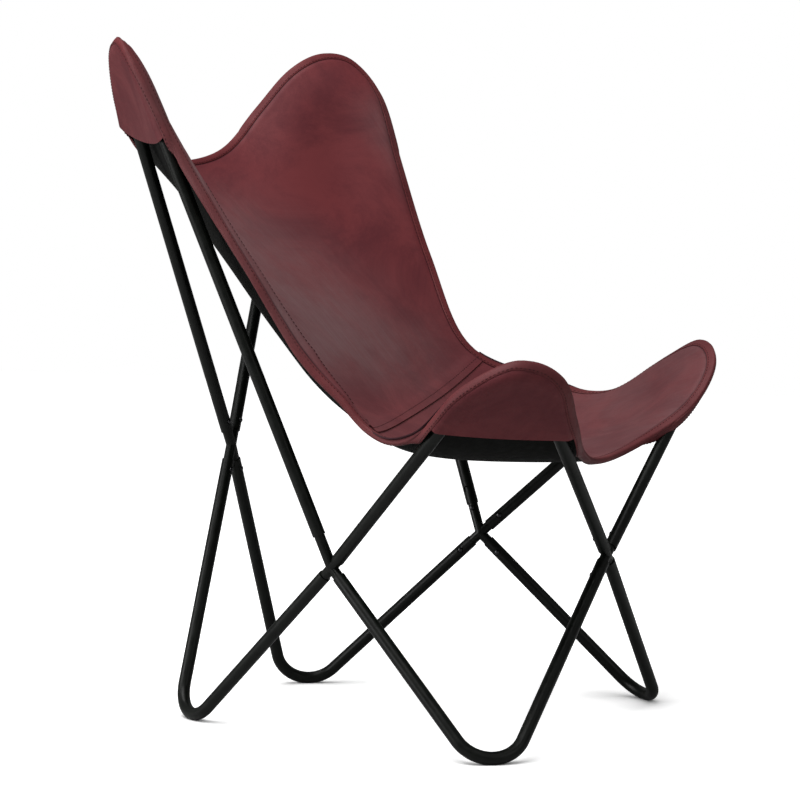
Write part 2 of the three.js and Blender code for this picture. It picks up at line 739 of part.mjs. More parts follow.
function backPattern() {
  const pattern = new Pattern();
  const rows = [seamRow.map((place) => moved(place, SEAM_GAP / 2)), ...backRows.slice(1)];
  const rim = backLoop.map(rimPlace);
  rim[0] = moved(rim[0], SEAM_GAP / 2);
  rim[rim.length - 1] = moved(rim[rim.length - 1], SEAM_GAP / 2);
  pattern.rim(sidesAndTop(pattern.grid(rows)).reverse(), rim.reverse(), false);
  return pattern;
}

function liningPattern() {
  const pattern = new Pattern();
  const index = pattern.grid([...seatRows, ...backRows.slice(1)]);
  const seatIndex = index.slice(0, seatRows.length);
  const backIndex = index.slice(seatRows.length - 1);
  const border = [...sidesAndBottom(seatIndex), ...sidesAndTop(backIndex).reverse().slice(1, -1)];
  const rim = [...seatLoop, ...backLoop.slice(1, -1).reverse()].map(rimPlace);
  pattern.rim(border, rim, true);
  return pattern;
}

// Pockets: from the rim of a lobe to a straight lower edge, standing off the lining by the tube
function pocketPattern(marks) {
  const pattern = new Pattern();
  const last = marks.length - 1;
  const hem = marks.map((mark) => inset(mark, POCKET_HEM));
  const rows = [marks.map((mark) => pattern.add(rimPlace(mark))), hem.map((place) => pattern.add(place))];
  const reaches = [...POCKET_ROWS, null, null];
  reaches.forEach((row, k) => {
    rows.push(hem.map((place, i) => {
      if (i === 0 || i === last) return rows[1][i];
      const edge = mixPlaces(hem[0], hem[last], (1 - Math.cos((Math.PI * i) / last)) / 2);
      const length = Math.hypot(edge.s - place.s, edge.w - place.w);
      const deepest = POCKET_ROWS[POCKET_ROWS.length - 1];
      const ramp = Math.min(deepest.reach, deepest.share * length);
      let reach = k === reaches.length - 1 ? length : (ramp + length) / 2;
      if (row) reach = Math.min(row.reach, row.share * length);
      return pattern.add(mixPlaces(place, edge, reach / length));
    }));
  });
  for (let j = 0; j + 1 < rows.length; j += 1) {
    for (let i = 0; i < last; i += 1) {
      pattern.quad(rows[j][i], rows[j][i + 1], rows[j + 1][i + 1], rows[j + 1][i]);
    }
  }
  return pattern;
}

function pocket(name, marks, axis) {
  const pattern = pocketPattern(marks);
  const needed = pattern.places.flatMap((place) => {
    const at = drapedPoint(place);
    return tubesNear(at, [axis], POCKET_CONTACT).map(({ height }) => tubeRadius + POCKET_EASE - height);
  });
  const depth = Math.max(...needed) + pocketTop;
  const drop = (place) => {
    const past = edgeDistance(place) - POCKET_HEM - CLOTH_GAP;
    const rise = THREE.MathUtils.clamp(past / POCKET_RAMP, 0, 1);
    return depth * (1 - (1 - rise) ** POCKET_FULLNESS) ** (1 / POCKET_FULLNESS);
  };
  const upper = (place) => pocketTop - drop(place);
  const lower = (place) => pocketBottom - drop(place);
  return named(name, pattern.hang(upper, lower), leather());
}

const frontPocketMarks = (side) => [
  ...frontStations(side).slice(CELLS.middle), ...seatStations(side).slice(1, CELLS.tipAlong + 1)];
const backPocketMarks = (side) => [
  ...backStations(side).slice(CELLS.backSide), ...topStations(side).reverse().slice(1, CELLS.tipAcross + 1)];

// Binding: a folded strip all round the edge, wide on the sitter's side
function edgeBinding() {
  const loop = [...seatLoop, ...backLoop.slice(1, -1).reverse()];
  const section = [
    [0, bindingOver.over], [BINDING_WIDTH, bindingOver.over], [BINDING_WIDTH, bindingOver.under],
    [BINDING, bindingOver.under], [BINDING, bindingUnder.over], [BINDING_TURN, bindingUnder.over],
    [BINDING_TURN, bindingUnder.under], [0, bindingUnder.under],
  ];
  const count = section.length;
  const ring = (mark) => section.map(([from, height]) => layerPoint(inset(mark, from), height));
  const points = loop.flatMap(ring);
  const triangles = [];
  loop.forEach((_, i) => {
    const here = i * count;
    const next = ((i + 1) % loop.length) * count;
    for (let k = 0; k < count; k += 1) {
      const n = (k + 1) % count;
      triangles.push([here + k, here + n, next + n], [here + k, next + n, next + k]);
    }
  });
  return named('edge_binding', closedGeometry(points, triangles), bindingLeather());
}

// Assembly
const chair = new THREE.Group();
chair.name = 'butterfly_chair';

const frame = new THREE.Group();
frame.name = 'frame';
for (const { mesh } of [...topTubes, ...footTubes]) frame.add(mesh);
for (const where of Object.values(crossings)) {
  frame.add(connector(where));
  for (const arm of Object.values(where.arms)) {
    const seat = new THREE.Group();
    seat.position.copy(where.centre);
    seat.quaternion.copy(arm.turn);
    seat.add(snapButton(where, arm), springClip(where, arm));
    frame.add(seat);
  }
}
chair.add(frame);

const sling = new THREE.Group();
sling.name = 'sling';
const flat = (height) => () => height;
sling.add(
  named('seat_panel', seatPattern().hang(flat(panelTop), flat(panelBottom)), leather()),
  named('back_panel', backPattern().hang(flat(panelTop), flat(panelBottom)), leather()),
  named('lining', liningPattern().hang(flat(liningTop), flat(liningBottom)), liningCloth()),
  pocket('pocket_back_left', backPocketMarks(LEFT), tubeAxes[0]),
  pocket('pocket_back_right', backPocketMarks(RIGHT), tubeAxes[1]),
  pocket('pocket_front_left', frontPocketMarks(LEFT), tubeAxes[2]),
  pocket('pocket_front_right', frontPocketMarks(RIGHT), tubeAxes[3]),
  edgeBinding(),
);
chair.add(sling);

export default chair;
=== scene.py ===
"""Butterfly sling chair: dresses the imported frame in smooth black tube, leather, lining and thread."""

import logging
import math
from dataclasses import dataclass, field
from enum import Enum
from typing import Callable, Iterator, Sequence

import bmesh
import bpy
import numpy as np
from mathutils import Matrix, Vector


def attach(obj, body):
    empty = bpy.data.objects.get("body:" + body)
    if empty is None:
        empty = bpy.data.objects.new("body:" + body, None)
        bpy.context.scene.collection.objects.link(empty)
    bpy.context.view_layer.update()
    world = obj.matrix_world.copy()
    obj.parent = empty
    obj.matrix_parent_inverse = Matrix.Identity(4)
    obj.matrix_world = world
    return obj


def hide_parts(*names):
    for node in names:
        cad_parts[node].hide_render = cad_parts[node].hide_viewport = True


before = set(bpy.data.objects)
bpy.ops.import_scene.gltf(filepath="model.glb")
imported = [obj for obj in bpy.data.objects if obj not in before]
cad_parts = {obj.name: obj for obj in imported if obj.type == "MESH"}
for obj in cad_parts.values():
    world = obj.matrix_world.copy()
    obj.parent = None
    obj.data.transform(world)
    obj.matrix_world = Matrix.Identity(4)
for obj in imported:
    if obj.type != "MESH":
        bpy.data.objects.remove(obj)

LOG = logging.getLogger("chair")
MM = 0.001
BODY = "chair"
Array = np.ndarray
Colour = tuple[float, float, float, float]
Point = tuple[float, float, float]
Places = Callable[[Array, Array], Array]
Heights = Callable[[Array, Array, Array], Array]


class Side(Enum):
    """The chair's two sides, as signs along X."""

    LEFT = -1
    RIGHT = 1


def smoothstep(low: float, high: float, value: Array) -> Array:
    """Eased 0 to 1 between two values.

    Args:
        low: where the rise starts.
        high: where the rise ends.
        value: what is eased.

    Returns:
        The eased values.
    """
    t = np.clip((value - low) / (high - low), 0.0, 1.0)
    return t * t * (3.0 - 2.0 * t)


def turn_to(along: Vector) -> Matrix:
    """The turn that takes Z to a direction."""
    return along.to_track_quat("Z", "Y").to_matrix().to_4x4()


def link(name: str, data: bpy.types.ID) -> bpy.types.Object:
    """Makes a scene object of a mesh, a camera or a lamp."""
    thing = bpy.data.objects.new(name, data)
    bpy.context.scene.collection.objects.link(thing)
    return thing


def new_object(name: str, shape: bmesh.types.BMesh) -> bpy.types.Object:
    """Makes a scene object of a bmesh and frees the bmesh.

    Args:
        name: the piece's name.
        shape: its mesh, in metres, in the chair's frame.

    Returns:
        The object, at the origin.
    """
    mesh = bpy.data.meshes.new(name)
    shape.to_mesh(mesh)
    shape.free()
    return link(name, mesh)


def bake(piece: bpy.types.Object) -> None:
    """Turns a piece's modifiers into plain mesh."""
    graph = bpy.context.evaluated_depsgraph_get()
    mesh = bpy.data.meshes.new_from_object(piece.evaluated_get(graph))
    piece.modifiers.clear()
    piece.data = mesh


def soften(piece: bpy.types.Object, angle: float = 40.0) -> None:
    """Shades a piece smooth and keeps edges sharper than an angle in degrees."""
    piece.data.shade_smooth()
    piece.data.set_sharp_from_angle(angle=math.radians(angle))


def cut_with(piece: bpy.types.Object, tool: bpy.types.Object, operation: str) -> None:
    """Joins a tool to a piece or cuts it away, and removes the tool.

    Args:
        piece: what is worked on.
        tool: the other solid.
        operation: UNION or DIFFERENCE.
    """
    work = piece.modifiers.new("work", "BOOLEAN")
    work.operation = operation
    work.object = tool
    work.solver = "EXACT"
    bake(piece)
    bpy.data.objects.remove(tool)


def install(piece: bpy.types.Object, body: str, material: bpy.types.Material,
            nodes: Sequence[str] = ()) -> None:
    """Puts a finished piece on its body, with its finish and the solids it stands for.

    Args:
        piece: the finished piece.
        body: the body it rides on.
        material: its finish.
        nodes: the solids it replaces.
    """
    piece.data.materials.clear()
    piece.data.materials.append(material)
    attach(piece, body)
    if nodes:
        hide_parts(*nodes)
    LOG.info("%s: %d faces on %s", piece.name, len(piece.data.polygons), body)


# Finishes


class Shader:
    """A material's node tree with short ways to add and join nodes."""

    def __init__(self, tree: bpy.types.NodeTree) -> None:
        """Keeps the tree that nodes are added to."""
        self.tree = tree

    def add(self, kind: str, **settings: object) -> bpy.types.Node:
        """Adds a node and sets its properties and inputs.

        Args:
            kind: the node's type name, without ShaderNode.
            settings: properties by name, and inputs by name with _ for spaces.

        Returns:
            The node.
        """
        node = self.tree.nodes.new(f"ShaderNode{kind}")
        for key, value in settings.items():
            if hasattr(node, key):
                setattr(node, key, value)
            else:
                self.feed(node, key.replace("_", " "), value)
        return node

    def feed(self, node: bpy.types.Node, key: object, value: object) -> None:
        """Joins a socket to a node's input, or sets the input's value."""
        socket = node.inputs[key]
        if isinstance(value, bpy.types.NodeSocket):
            self.tree.links.new(value, socket)
        else:
            socket.default_value = value

    def math(self, operation: str, first: object, second: object = 0.0) -> bpy.types.NodeSocket:
        """Adds a Math node and returns its output."""
        node = self.add("Math", operation=operation)
        self.feed(node, 0, first)
        self.feed(node, 1, second)
        return node.outputs[0]

    def blend(self, factor: object, first: object, second: object,
              mode: str = "MIX") -> bpy.types.NodeSocket:
        """Adds a colour Mix node and returns its output."""
        node = self.add("Mix", data_type="RGBA", blend_type=mode)
        self.feed(node, 0, factor)
        self.feed(node, 6, first)
        self.feed(node, 7, second)
        return node.outputs[2]

    def band(self, value: object, low: float, high: float,
             to_low: float = 0.0, to_high: float = 1.0) -> bpy.types.NodeSocket:
        """Maps a value between two ends to two others, eased and held at the ends."""
        node = self.add("MapRange", interpolation_type="SMOOTHSTEP")
        for key, number in zip((0, 1, 2, 3, 4), (value, low, high, to_low, to_high)):
            self.feed(node, key, number)
        return node.outputs[0]


def start_finish(name: str) -> tuple[bpy.types.Material, Shader, bpy.types.Node]:
    """Starts a material.

    Args:
        name: its name.

    Returns:
        The material, its node tree and its main shader node.
    """
    material = bpy.data.materials.new(name)
    material.use_nodes = True
    return material, Shader(material.node_tree), material.node_tree.nodes["Principled BSDF"]


@dataclass(frozen=True)
class LeatherMottleAndSheen:
    """The leather's cloudy colour, a painted grey sheen where light glances off it, and its grain.

    Bands are the ends of a rise and, where four, the values there. The places of the painted sheen are places
    on the flat in metres, across from the middle line and along it.
    """

    cloud_scale: float = 9.0
    grain_scale: float = 900.0
    sheen_scale: float = 7.0
    crease_scale: float = 420.0
    streak_scale: Point = (260.0, 14.0, 1.0)
    streak_turn: float = 0.16
    pebble_share: float = 0.7
    crease_share: float = 0.5
    cloud_band: tuple[float, ...] = (0.34, 0.68)
    middle_side: float = 0.26
    middle_top: float = 0.70
    middle_lean: float = 0.5
    middle_band: tuple[float, ...] = (0.02, 0.33)
    middle_start: tuple[float, ...] = (0.42, 0.54, 0.2, 1.0)
    middle_end: tuple[float, ...] = (0.80, 0.90, 1.0, 0.0)
    right_side: tuple[float, ...] = (0.29, 0.35, 0.0, 0.5)
    right_end: tuple[float, ...] = (0.80, 0.88, 1.0, 0.0)
    seat: tuple[float, ...] = (0.30, 0.38, 0.48, 0.0)
    drift_least: float = 0.6
    drift_band: tuple[float, ...] = (0.36, 0.60, 0.0, 0.4)
    streak_least: float = 0.75
    streak_share: float = 0.25
    streak_band: tuple[float, ...] = (0.38, 0.66)

    def make(self) -> bpy.types.NodeTree:
        """Builds the node group.

        Returns:
            A group with Cloud and painted sheen outputs between 0 and 1, and Grain heights.
        """
        group = bpy.data.node_groups.new("leather_mottle_and_sheen", "ShaderNodeTree")
        face = group.interface
        for name in ("Cloud", "Bloom", "Grain"):
            face.new_socket(name=name, in_out="OUTPUT", socket_type="NodeSocketFloat")
        for name, value in (("Cloud Scale", self.cloud_scale), ("Grain Scale", self.grain_scale)):
            face.new_socket(name=name, in_out="INPUT", socket_type="NodeSocketFloat").default_value = value
        sheet = Shader(group)
        given = group.nodes.new("NodeGroupInput").outputs
        out = group.nodes.new("NodeGroupOutput")
        place = sheet.add("TexCoord").outputs
        cloud = sheet.add("TexNoise", Vector=place["Object"], Scale=given["Cloud Scale"], Detail=12.0,
                          Roughness=0.72, Distortion=0.6)
        pebble = sheet.add("TexVoronoi", feature="SMOOTH_F1", Vector=place["Object"],
                           Scale=given["Grain Scale"], Smoothness=0.6)
        crease = sheet.add("TexNoise", Vector=place["Object"], Scale=self.crease_scale, Detail=3.0)
        grain = sheet.math("ADD", sheet.math("MULTIPLY", pebble.outputs["Distance"], self.pebble_share),
                           sheet.math("MULTIPLY", crease.outputs[0], self.crease_share))
        sheet.feed(out, "Cloud", sheet.band(cloud.outputs[0], *self.cloud_band))
        # Painted sheen: a grey reflection laid into the colour where light glances off the leather, with fine
        # streaks.
        sheet.feed(out, "Bloom", sheet.math("MULTIPLY", self.sheen_places(sheet, place), self.sheen_streaks(sheet, place)))
        sheet.feed(out, "Grain", grain)
        return group

    def sheen_places(self, sheet: Shader, place: bpy.types.NodeOutputs) -> bpy.types.NodeSocket:
        """Where grey sheen is painted: the back's middle and right side, and the seat.

        Args:
            sheet: the group's tree.
            place: the outputs of its texture coordinates.

        Returns:
            How strong the painted sheen is, drifting from place to place.
        """
        across, along, _ = sheet.add("SeparateXYZ", Vector=place["UV"]).outputs
        lower = sheet.math("MULTIPLY", sheet.math("SUBTRACT", self.middle_top, along), self.middle_lean)
        middle = sheet.math("ADD", sheet.math("SUBTRACT", self.middle_side, across), lower)
        ends = sheet.math("MULTIPLY", sheet.band(along, *self.middle_start),
                          sheet.band(along, *self.middle_end))
        middle = sheet.math("MULTIPLY", sheet.band(middle, *self.middle_band), ends)
        right = sheet.math("MULTIPLY", sheet.band(across, *self.right_side),
                           sheet.band(along, *self.right_end))
        sheen_places = sheet.math("MAXIMUM", sheet.math("MAXIMUM", middle, right), sheet.band(along, *self.seat))
        bloom = sheet.add("TexNoise", Vector=place["Object"], Scale=self.sheen_scale, Detail=8.0,
                          Roughness=0.66)
        drift = sheet.math("ADD", self.drift_least, sheet.band(bloom.outputs[0], *self.drift_band))
        return sheet.math("MULTIPLY", sheen_places, drift)

    def sheen_streaks(self, sheet: Shader, place: bpy.types.NodeOutputs) -> bpy.types.NodeSocket:
        """Fine streaks in the painted sheen.

        Args:
            sheet: the group's tree.
            place: the outputs of its texture coordinates.

        Returns:
            The share of the painted sheen that they leave.
        """
        stretch = sheet.add("Mapping", Vector=place["UV"], Scale=self.streak_scale,
                            Rotation=(0.0, 0.0, self.streak_turn))
        streak = sheet.add("TexNoise", Vector=stretch.outputs[0], Scale=1.0, Detail=4.0, Roughness=0.6)
        share = sheet.math("MULTIPLY", sheet.band(streak.outputs[0], *self.streak_band), self.streak_share)
        return sheet.math("ADD", self.streak_least, share)


@dataclass(frozen=True)
class Leather:
    """Waxed pull-up leather: a deep ground, a lighter cloud, a painted grey sheen and a painted shade line
    beside the binding.

    The painted shade line fades out between its low and high distances, in millimetres from the cut edge.
    """

    name: str
    ground: Colour = (0.088, 0.0156, 0.0201, 1.0)
    cloud: Colour = (0.138, 0.0265, 0.0302, 1.0)
    # Colours of the painted grey sheen and of the painted shade line in the groove beside the binding.
    bloom: Colour = (0.152, 0.086, 0.089, 1.0)
    groove_shade: Colour = (0.022, 0.005, 0.008, 1.0)
    sheen_share: float = 0.9
    roughness: float = 0.52
    rough_spread: float = 0.05
    grain: float = 0.18
    grain_depth: float = 0.6 * MM
    specular: float = 0.14
    shade_line_low: float = 0.0
    shade_line_high: float = 0.0
    shade_line_share: float = 0.95

    def make(self, mottle_and_sheen: bpy.types.NodeTree) -> bpy.types.Material:
        """Builds the material.

        Args:
            mottle_and_sheen: the shared leather group.

        Returns:
            The material.
        """
        material, sheet, shader = start_finish(self.name)
        marks = sheet.add("Group")
        marks.node_tree = mottle_and_sheen
        colour = sheet.blend(marks.outputs["Cloud"], self.ground, self.cloud)
        # Painted sheen: grey mixed into the colour where light glances off the leather.
        bloom = sheet.math("MULTIPLY", marks.outputs["Bloom"], self.sheen_share)
        colour = sheet.blend(bloom, colour, self.bloom)
        # Painted shade: a dark line in the groove beside the binding, drawn from the kept edge distance.
        if self.shade_line_high > self.shade_line_low:
            edge = sheet.add("Attribute", attribute_name="edge_mm").outputs["Fac"]
            line = sheet.band(edge, self.shade_line_low, self.shade_line_high, self.shade_line_share, 0.0)
            colour = sheet.blend(line, colour, self.groove_shade)
        sheet.feed(shader, "Base Color", colour)
        rough = sheet.band(marks.outputs["Cloud"], 0.0, 1.0,
                           self.roughness + self.rough_spread, self.roughness - self.rough_spread)
        sheet.feed(shader, "Roughness", rough)
        shader.inputs["Specular IOR Level"].default_value = self.specular
        bump = sheet.add("Bump", Strength=self.grain, Distance=self.grain_depth,
                         Height=marks.outputs["Grain"])
        sheet.feed(shader, "Normal", bump.outputs[0])
        return material


@dataclass(frozen=True)
class Coat:
    """Satin powder coat on steel tube, with a fine orange-peel surface."""

    name: str
    colour: Colour = (0.0022, 0.0028, 0.0021, 1.0)
    worn: Colour = (0.0042, 0.0052, 0.0040, 1.0)
    roughness: float = 0.36
    metallic: float = 0.0
    specular: float = 0.18
    peel: float = 0.06
    peel_depth: float = 0.4 * MM
    peel_scale: float = 1400.0
    haze_scale: float = 60.0
    worn_band: tuple[float, float] = (0.35, 0.7)
    rough_band: tuple[float, float] = (0.3, 0.7)
    rough_spread: tuple[float, float] = (-0.05, 0.07)

    def make(self) -> bpy.types.Material:
        """Builds the material."""
        material, sheet, shader = start_finish(self.name)
        place = sheet.add("TexCoord").outputs["Object"]
        haze = sheet.add("TexNoise", Vector=place, Scale=self.haze_scale, Detail=4.0,
                         Roughness=0.6).outputs[0]
        speck = sheet.add("TexNoise", Vector=place, Scale=self.peel_scale, Detail=2.0).outputs[0]
        worn = sheet.band(haze, *self.worn_band)
        sheet.feed(shader, "Base Color", sheet.blend(worn, self.colour, self.worn))
        least, most = (self.roughness + spread for spread in self.rough_spread)
        sheet.feed(shader, "Roughness", sheet.band(haze, *self.rough_band, least, most))
        shader.inputs["Metallic"].default_value = self.metallic
        shader.inputs["Specular IOR Level"].default_value = self.specular
        bump = sheet.add("Bump", Strength=self.peel, Distance=self.peel_depth, Height=speck)
        sheet.feed(shader, "Normal", bump.outputs[0])
        return material


@dataclass(frozen=True)
class Canvas:
    """Black lining cloth with a fine plain weave."""

    name: str
    dark: Colour = (0.0013, 0.0013, 0.0010, 1.0)
    light: Colour = (0.0041, 0.0042, 0.0035, 1.0)
    thread: float = 0.9 * MM
    weave_share: float = 0.25
    weave_bump: float = 0.3
    weave_depth: float = 0.3 * MM
    lint_scale: float = 90.0
    light_band: tuple[float, ...] = (0.2, 0.9)
    rough_band: tuple[float, ...] = (0.3, 0.7, 0.82, 0.95)
    specular: float = 0.12

    def make(self) -> bpy.types.Material:
        """Builds the material."""
        material, sheet, shader = start_finish(self.name)
        place = sheet.add("TexCoord").outputs["UV"]
        turns = math.pi / self.thread
        pick = sheet.add("SeparateXYZ", Vector=place).outputs
        warp = sheet.math("SINE", sheet.math("MULTIPLY", pick[0], turns))
        weft = sheet.math("SINE", sheet.math("MULTIPLY", pick[1], turns))
        weave = sheet.math("MULTIPLY", warp, weft)
        lint = sheet.add("TexNoise", Vector=place, Scale=self.lint_scale, Detail=5.0).outputs[0]
        mixed = sheet.math("ADD", sheet.math("MULTIPLY", weave, self.weave_share), lint)
        light = sheet.band(mixed, *self.light_band)
        sheet.feed(shader, "Base Color", sheet.blend(light, self.dark, self.light))
        sheet.feed(shader, "Roughness", sheet.band(lint, *self.rough_band))
        shader.inputs["Specular IOR Level"].default_value = self.specular
        bump = sheet.add("Bump", Strength=self.weave_bump, Distance=self.weave_depth, Height=weave)
        sheet.feed(shader, "Normal", bump.outputs[0])
        return material


# Frame


@dataclass(frozen=True)
class FrameSizes:
    """Driving sizes of the tube frame, in metres."""

    tube_radius: float = 8.0 * MM
    tube_wall: float = 1.2 * MM
    back_top: Point = (337.0 * MM, 289.0 * MM, 1039.0 * MM)
    front_top: Point = (350.5 * MM, -313.0 * MM, 506.0 * MM)
    rear_foot: tuple[float, float] = (157.0 * MM, 243.0 * MM)
    front_foot: tuple[float, float] = (275.0 * MM, -260.5 * MM)
    back_crossing: tuple[float, float] = (246.5 * MM, 337.0 * MM)
    front_crossing: tuple[float, float] = (-284.0 * MM, 221.5 * MM)
    side_crossing: Point = (218.5 * MM, -16.0 * MM, 213.0 * MM)
    back_bend: float = 60.0 * MM
    front_bend: float = 58.0 * MM
    foot_bend: float = 45.0 * MM
    foot_flat: float = 0.8 * MM
    arm_radius: float = 6.65 * MM
    arm_length: float = 66.0 * MM
    end_gap: float = 0.4 * MM
    loose_end: float = 42.0 * MM
    button_distance: float = 35.0 * MM
    button_radius: float = 3.25 * MM
    button_stand: float = 1.5 * MM
    flange_radius: float = 4.1 * MM
    flange_low: float = 2.5 * MM
    flange_height: float = 0.8 * MM
    hole_radius: float = 4.25 * MM
    sides: int = 40
    bend_steps: int = 28
    arm_sides: int = 32
    button_sides: int = 28
    dome_steps: int = 7
    hole_sides: int = 24
    foot_rounds: int = 12


class BentTube:
    """A V tube: a straight leg, a round bend and a second leg."""

    def __init__(self, name: str, start: Vector, corner: Vector, end: Vector, bend: float) -> None:
        """Works out the bend.

        Args:
            name: the node that the tube replaces.
            start: the middle of the tube's first end.
            corner: where the straight legs would meet.
            end: the middle of its second end.
            bend: the bend's radius at the tube's middle.
        """
        self.name = name
        self.start, self.corner, self.end, self.bend = start, corner, end, bend
        to_start = (start - corner).normalized()
        to_end = (end - corner).normalized()
        half = to_start.angle(to_end) / 2
        inward = (to_start + to_end).normalized()
        self.centre = corner + inward * (bend / math.sin(half))
        self.sweep = math.pi - 2 * half
        self.bend_start = corner + to_start * (bend / math.tan(half))
        self.bend_end = corner + to_end * (bend / math.tan(half))
        self.spin_axis = (-to_start).cross(to_end).normalized()
        across = (to_start - inward * to_start.dot(inward)).normalized()
        self.lowest = self.centre.z - bend * math.hypot(inward.z, across.z)

    def axis(self, step: float) -> list[Vector]:
        """Points along the tube's middle.

        Args:
            step: the greatest distance between points.

        Returns:
            The points, from end to end.
        """
        points = []
        for from_point, to_point in ((self.start, self.bend_start), (self.bend_end, self.end)):
            count = max(1, math.ceil((to_point - from_point).length / step))
            points += [from_point.lerp(to_point, k / count) for k in range(count + 1)]
        count = max(1, math.ceil(self.bend * self.sweep / step))
        arm = self.bend_start - self.centre
        for k in range(count + 1):
            turn = Matrix.Rotation(self.sweep * k / count, 3, self.spin_axis)
            points.append(self.centre + turn @ arm)
        return points

    def build(self, sizes: FrameSizes) -> bpy.types.Object:
        """Draws the tube by extruding a ring along one leg, round the bend and along the other.

        Args:
            sizes: the frame's sizes.

        Returns:
            The tube, with its wall and a flat where it stands on the floor.
        """
        shape = bmesh.new()
        along = (self.corner - self.start).normalized()
        bmesh.ops.create_circle(shape, radius=sizes.tube_radius, segments=sizes.sides,
                                matrix=Matrix.Translation(self.start) @ turn_to(along))
        rim = self.pull(shape, list(shape.edges), self.bend_start - self.start)
        spun = bmesh.ops.spin(shape, geom=rim, cent=self.centre, axis=self.spin_axis,
                              angle=self.sweep, steps=sizes.bend_steps, dvec=(0, 0, 0))
        rim = [edge for edge in spun["geom_last"] if isinstance(edge, bmesh.types.BMEdge)]
        self.pull(shape, rim, self.end - self.bend_end)
        bmesh.ops.remove_doubles(shape, verts=shape.verts, dist=0.01 * MM)
        bmesh.ops.recalc_face_normals(shape, faces=shape.faces)
        tube = new_object(f"{self.name}_coated", shape)
        wall = tube.modifiers.new("wall", "SOLIDIFY")
        wall.thickness = sizes.tube_wall
        wall.offset = -1.0
        bake(tube)
        for vertex in tube.data.vertices:
            vertex.co.z = max(vertex.co.z, 0.0)
        return tube

    @staticmethod
    def pull(shape: bmesh.types.BMesh, rim: list, by: Vector) -> list:
        """Extrudes a ring of edges and moves the new ring.

        Args:
            shape: the tube's mesh.
            rim: the ring's edges.
            by: how far the new ring goes.

        Returns:
            The new ring's edges.
        """
        pulled = bmesh.ops.extrude_edge_only(shape, edges=rim)["geom"]
        points = [item for item in pulled if isinstance(item, bmesh.types.BMVert)]
        bmesh.ops.translate(shape, verts=points, vec=by)
        return [item for item in pulled if isinstance(item, bmesh.types.BMEdge)]


@dataclass
class Arm:
    """One arm of a crossing: its direction, which way its button looks and where its tube ends."""

    along: Vector
    press: Vector
    tube_end: float

    def turn(self) -> Matrix:
        """The turn that takes Z to the button's direction and X to the arm's."""
        side = self.press.cross(self.along)
        return Matrix((self.along, side, self.press)).transposed().to_4x4()


class Crossing:
    """Where four tubes meet: an X of thinner tube with a snap button in each arm."""

    def __init__(self, name: str, centre: Vector, corners: dict[str, Vector], sizes: FrameSizes) -> None:
        """Works out the arms.

        Args:
            name: back, front, left or right.
            centre: where the arms' middles meet.
            corners: the tube corner that each arm points to.
            sizes: the frame's sizes.
        """
        self.name, self.centre, self.sizes = name, centre, sizes
        inward = Vector((-centre.x, 0, 0)) if abs(centre.x) > MM else Vector((0, -centre.y, 0))
        inward.normalize()
        ways = {arm: (corner - centre).normalized() for arm, corner in corners.items()}
        pairs = [(a, b) for a in ways.values() for b in ways.values() if a is not b]
        narrowest = min(a.angle(b) for a, b in pairs)
        self.seat = (sizes.tube_radius + sizes.end_gap / 2) / math.sin(narrowest / 2)
        self.arms = {}
        for arm, along in ways.items():
            press = (inward - along * inward.dot(along)).normalized()
            self.arms[arm] = Arm(along, press, self.seat)

    def end_point(self, arm: str) -> Vector:
        """The middle of the tube end on an arm."""
        return self.centre + self.arms[arm].along * self.arms[arm].tube_end

    def hole_place(self, arm: str) -> Matrix:
        """Where the tube's button hole is, looking out of the tube."""
        spot = self.arms[arm]
        distance = self.sizes.button_distance + spot.tube_end - self.seat
        return Matrix.Translation(self.centre + spot.along * distance) @ spot.turn()

    def hole_tool(self, arm: str) -> bpy.types.Object:
        """The solid that cuts a tube's button hole."""
        shape = bmesh.new()
        depth = 2 * self.sizes.tube_radius
        place = self.hole_place(arm) @ Matrix.Translation((0, 0, depth / 2))
        radius = self.sizes.hole_radius
        bmesh.ops.create_cone(shape, cap_ends=True, segments=self.sizes.hole_sides, radius1=radius,
                              radius2=radius, depth=depth, matrix=place)
        return new_object("hole_tool", shape)

    def build_connector(self) -> bpy.types.Object:
        """Welds four arms into an X.

        Returns:
            The connector.
        """
        length, radius = self.sizes.arm_length, self.sizes.arm_radius
        joined = None
        for arm in self.arms.values():
            shape = bmesh.new()
            middle = self.centre + arm.along * (length / 2 - radius / 4)
            place = Matrix.Translation(middle) @ turn_to(arm.along)
            bmesh.ops.create_cone(shape, cap_ends=True, segments=self.sizes.arm_sides, radius1=radius,
                                  radius2=radius, depth=length, matrix=place)
            bar = new_object(f"{self.name}_connector_coated", shape)
            if joined is None:
                joined = bar
            else:
                cut_with(joined, bar, "UNION")
        return joined

    def build_button(self, arm: str) -> bpy.types.Object:
        """Turns a domed button on its arm.

        Args:
            arm: which arm it is in.

        Returns:
            The button.
        """
        sizes = self.sizes
        radius, top = sizes.button_radius, sizes.tube_radius + sizes.button_stand
        shape = bmesh.new()
        flange, low, high = sizes.flange_radius, sizes.flange_low, sizes.flange_low + sizes.flange_height
        profile = [(0.0, low), (flange, low), (flange, high), (radius, high)]
        for k in range(sizes.dome_steps + 1):
            angle = math.pi / 2 * k / sizes.dome_steps
            profile.append((radius * math.cos(angle), top - sizes.button_stand * (1 - math.sin(angle))))
        points = [shape.verts.new((x, 0, z)) for x, z in profile]
        edges = [shape.edges.new(pair) for pair in zip(points, points[1:])]
        bmesh.ops.spin(shape, geom=points + edges, cent=(0, 0, 0), axis=(0, 0, 1), dvec=(0, 0, 0),
                       angle=2 * math.pi, steps=sizes.button_sides, use_merge=True)
        bmesh.ops.remove_doubles(shape, verts=shape.verts, dist=0.005 * MM)
        bmesh.ops.recalc_face_normals(shape, faces=shape.faces)
        spot = self.arms[arm]
        place = Matrix.Translation(self.centre + spot.along * sizes.button_distance) @ spot.turn()
        bmesh.ops.transform(shape, matrix=place, verts=shape.verts)
        return new_object(f"button_{self.name}_{arm}", shape)


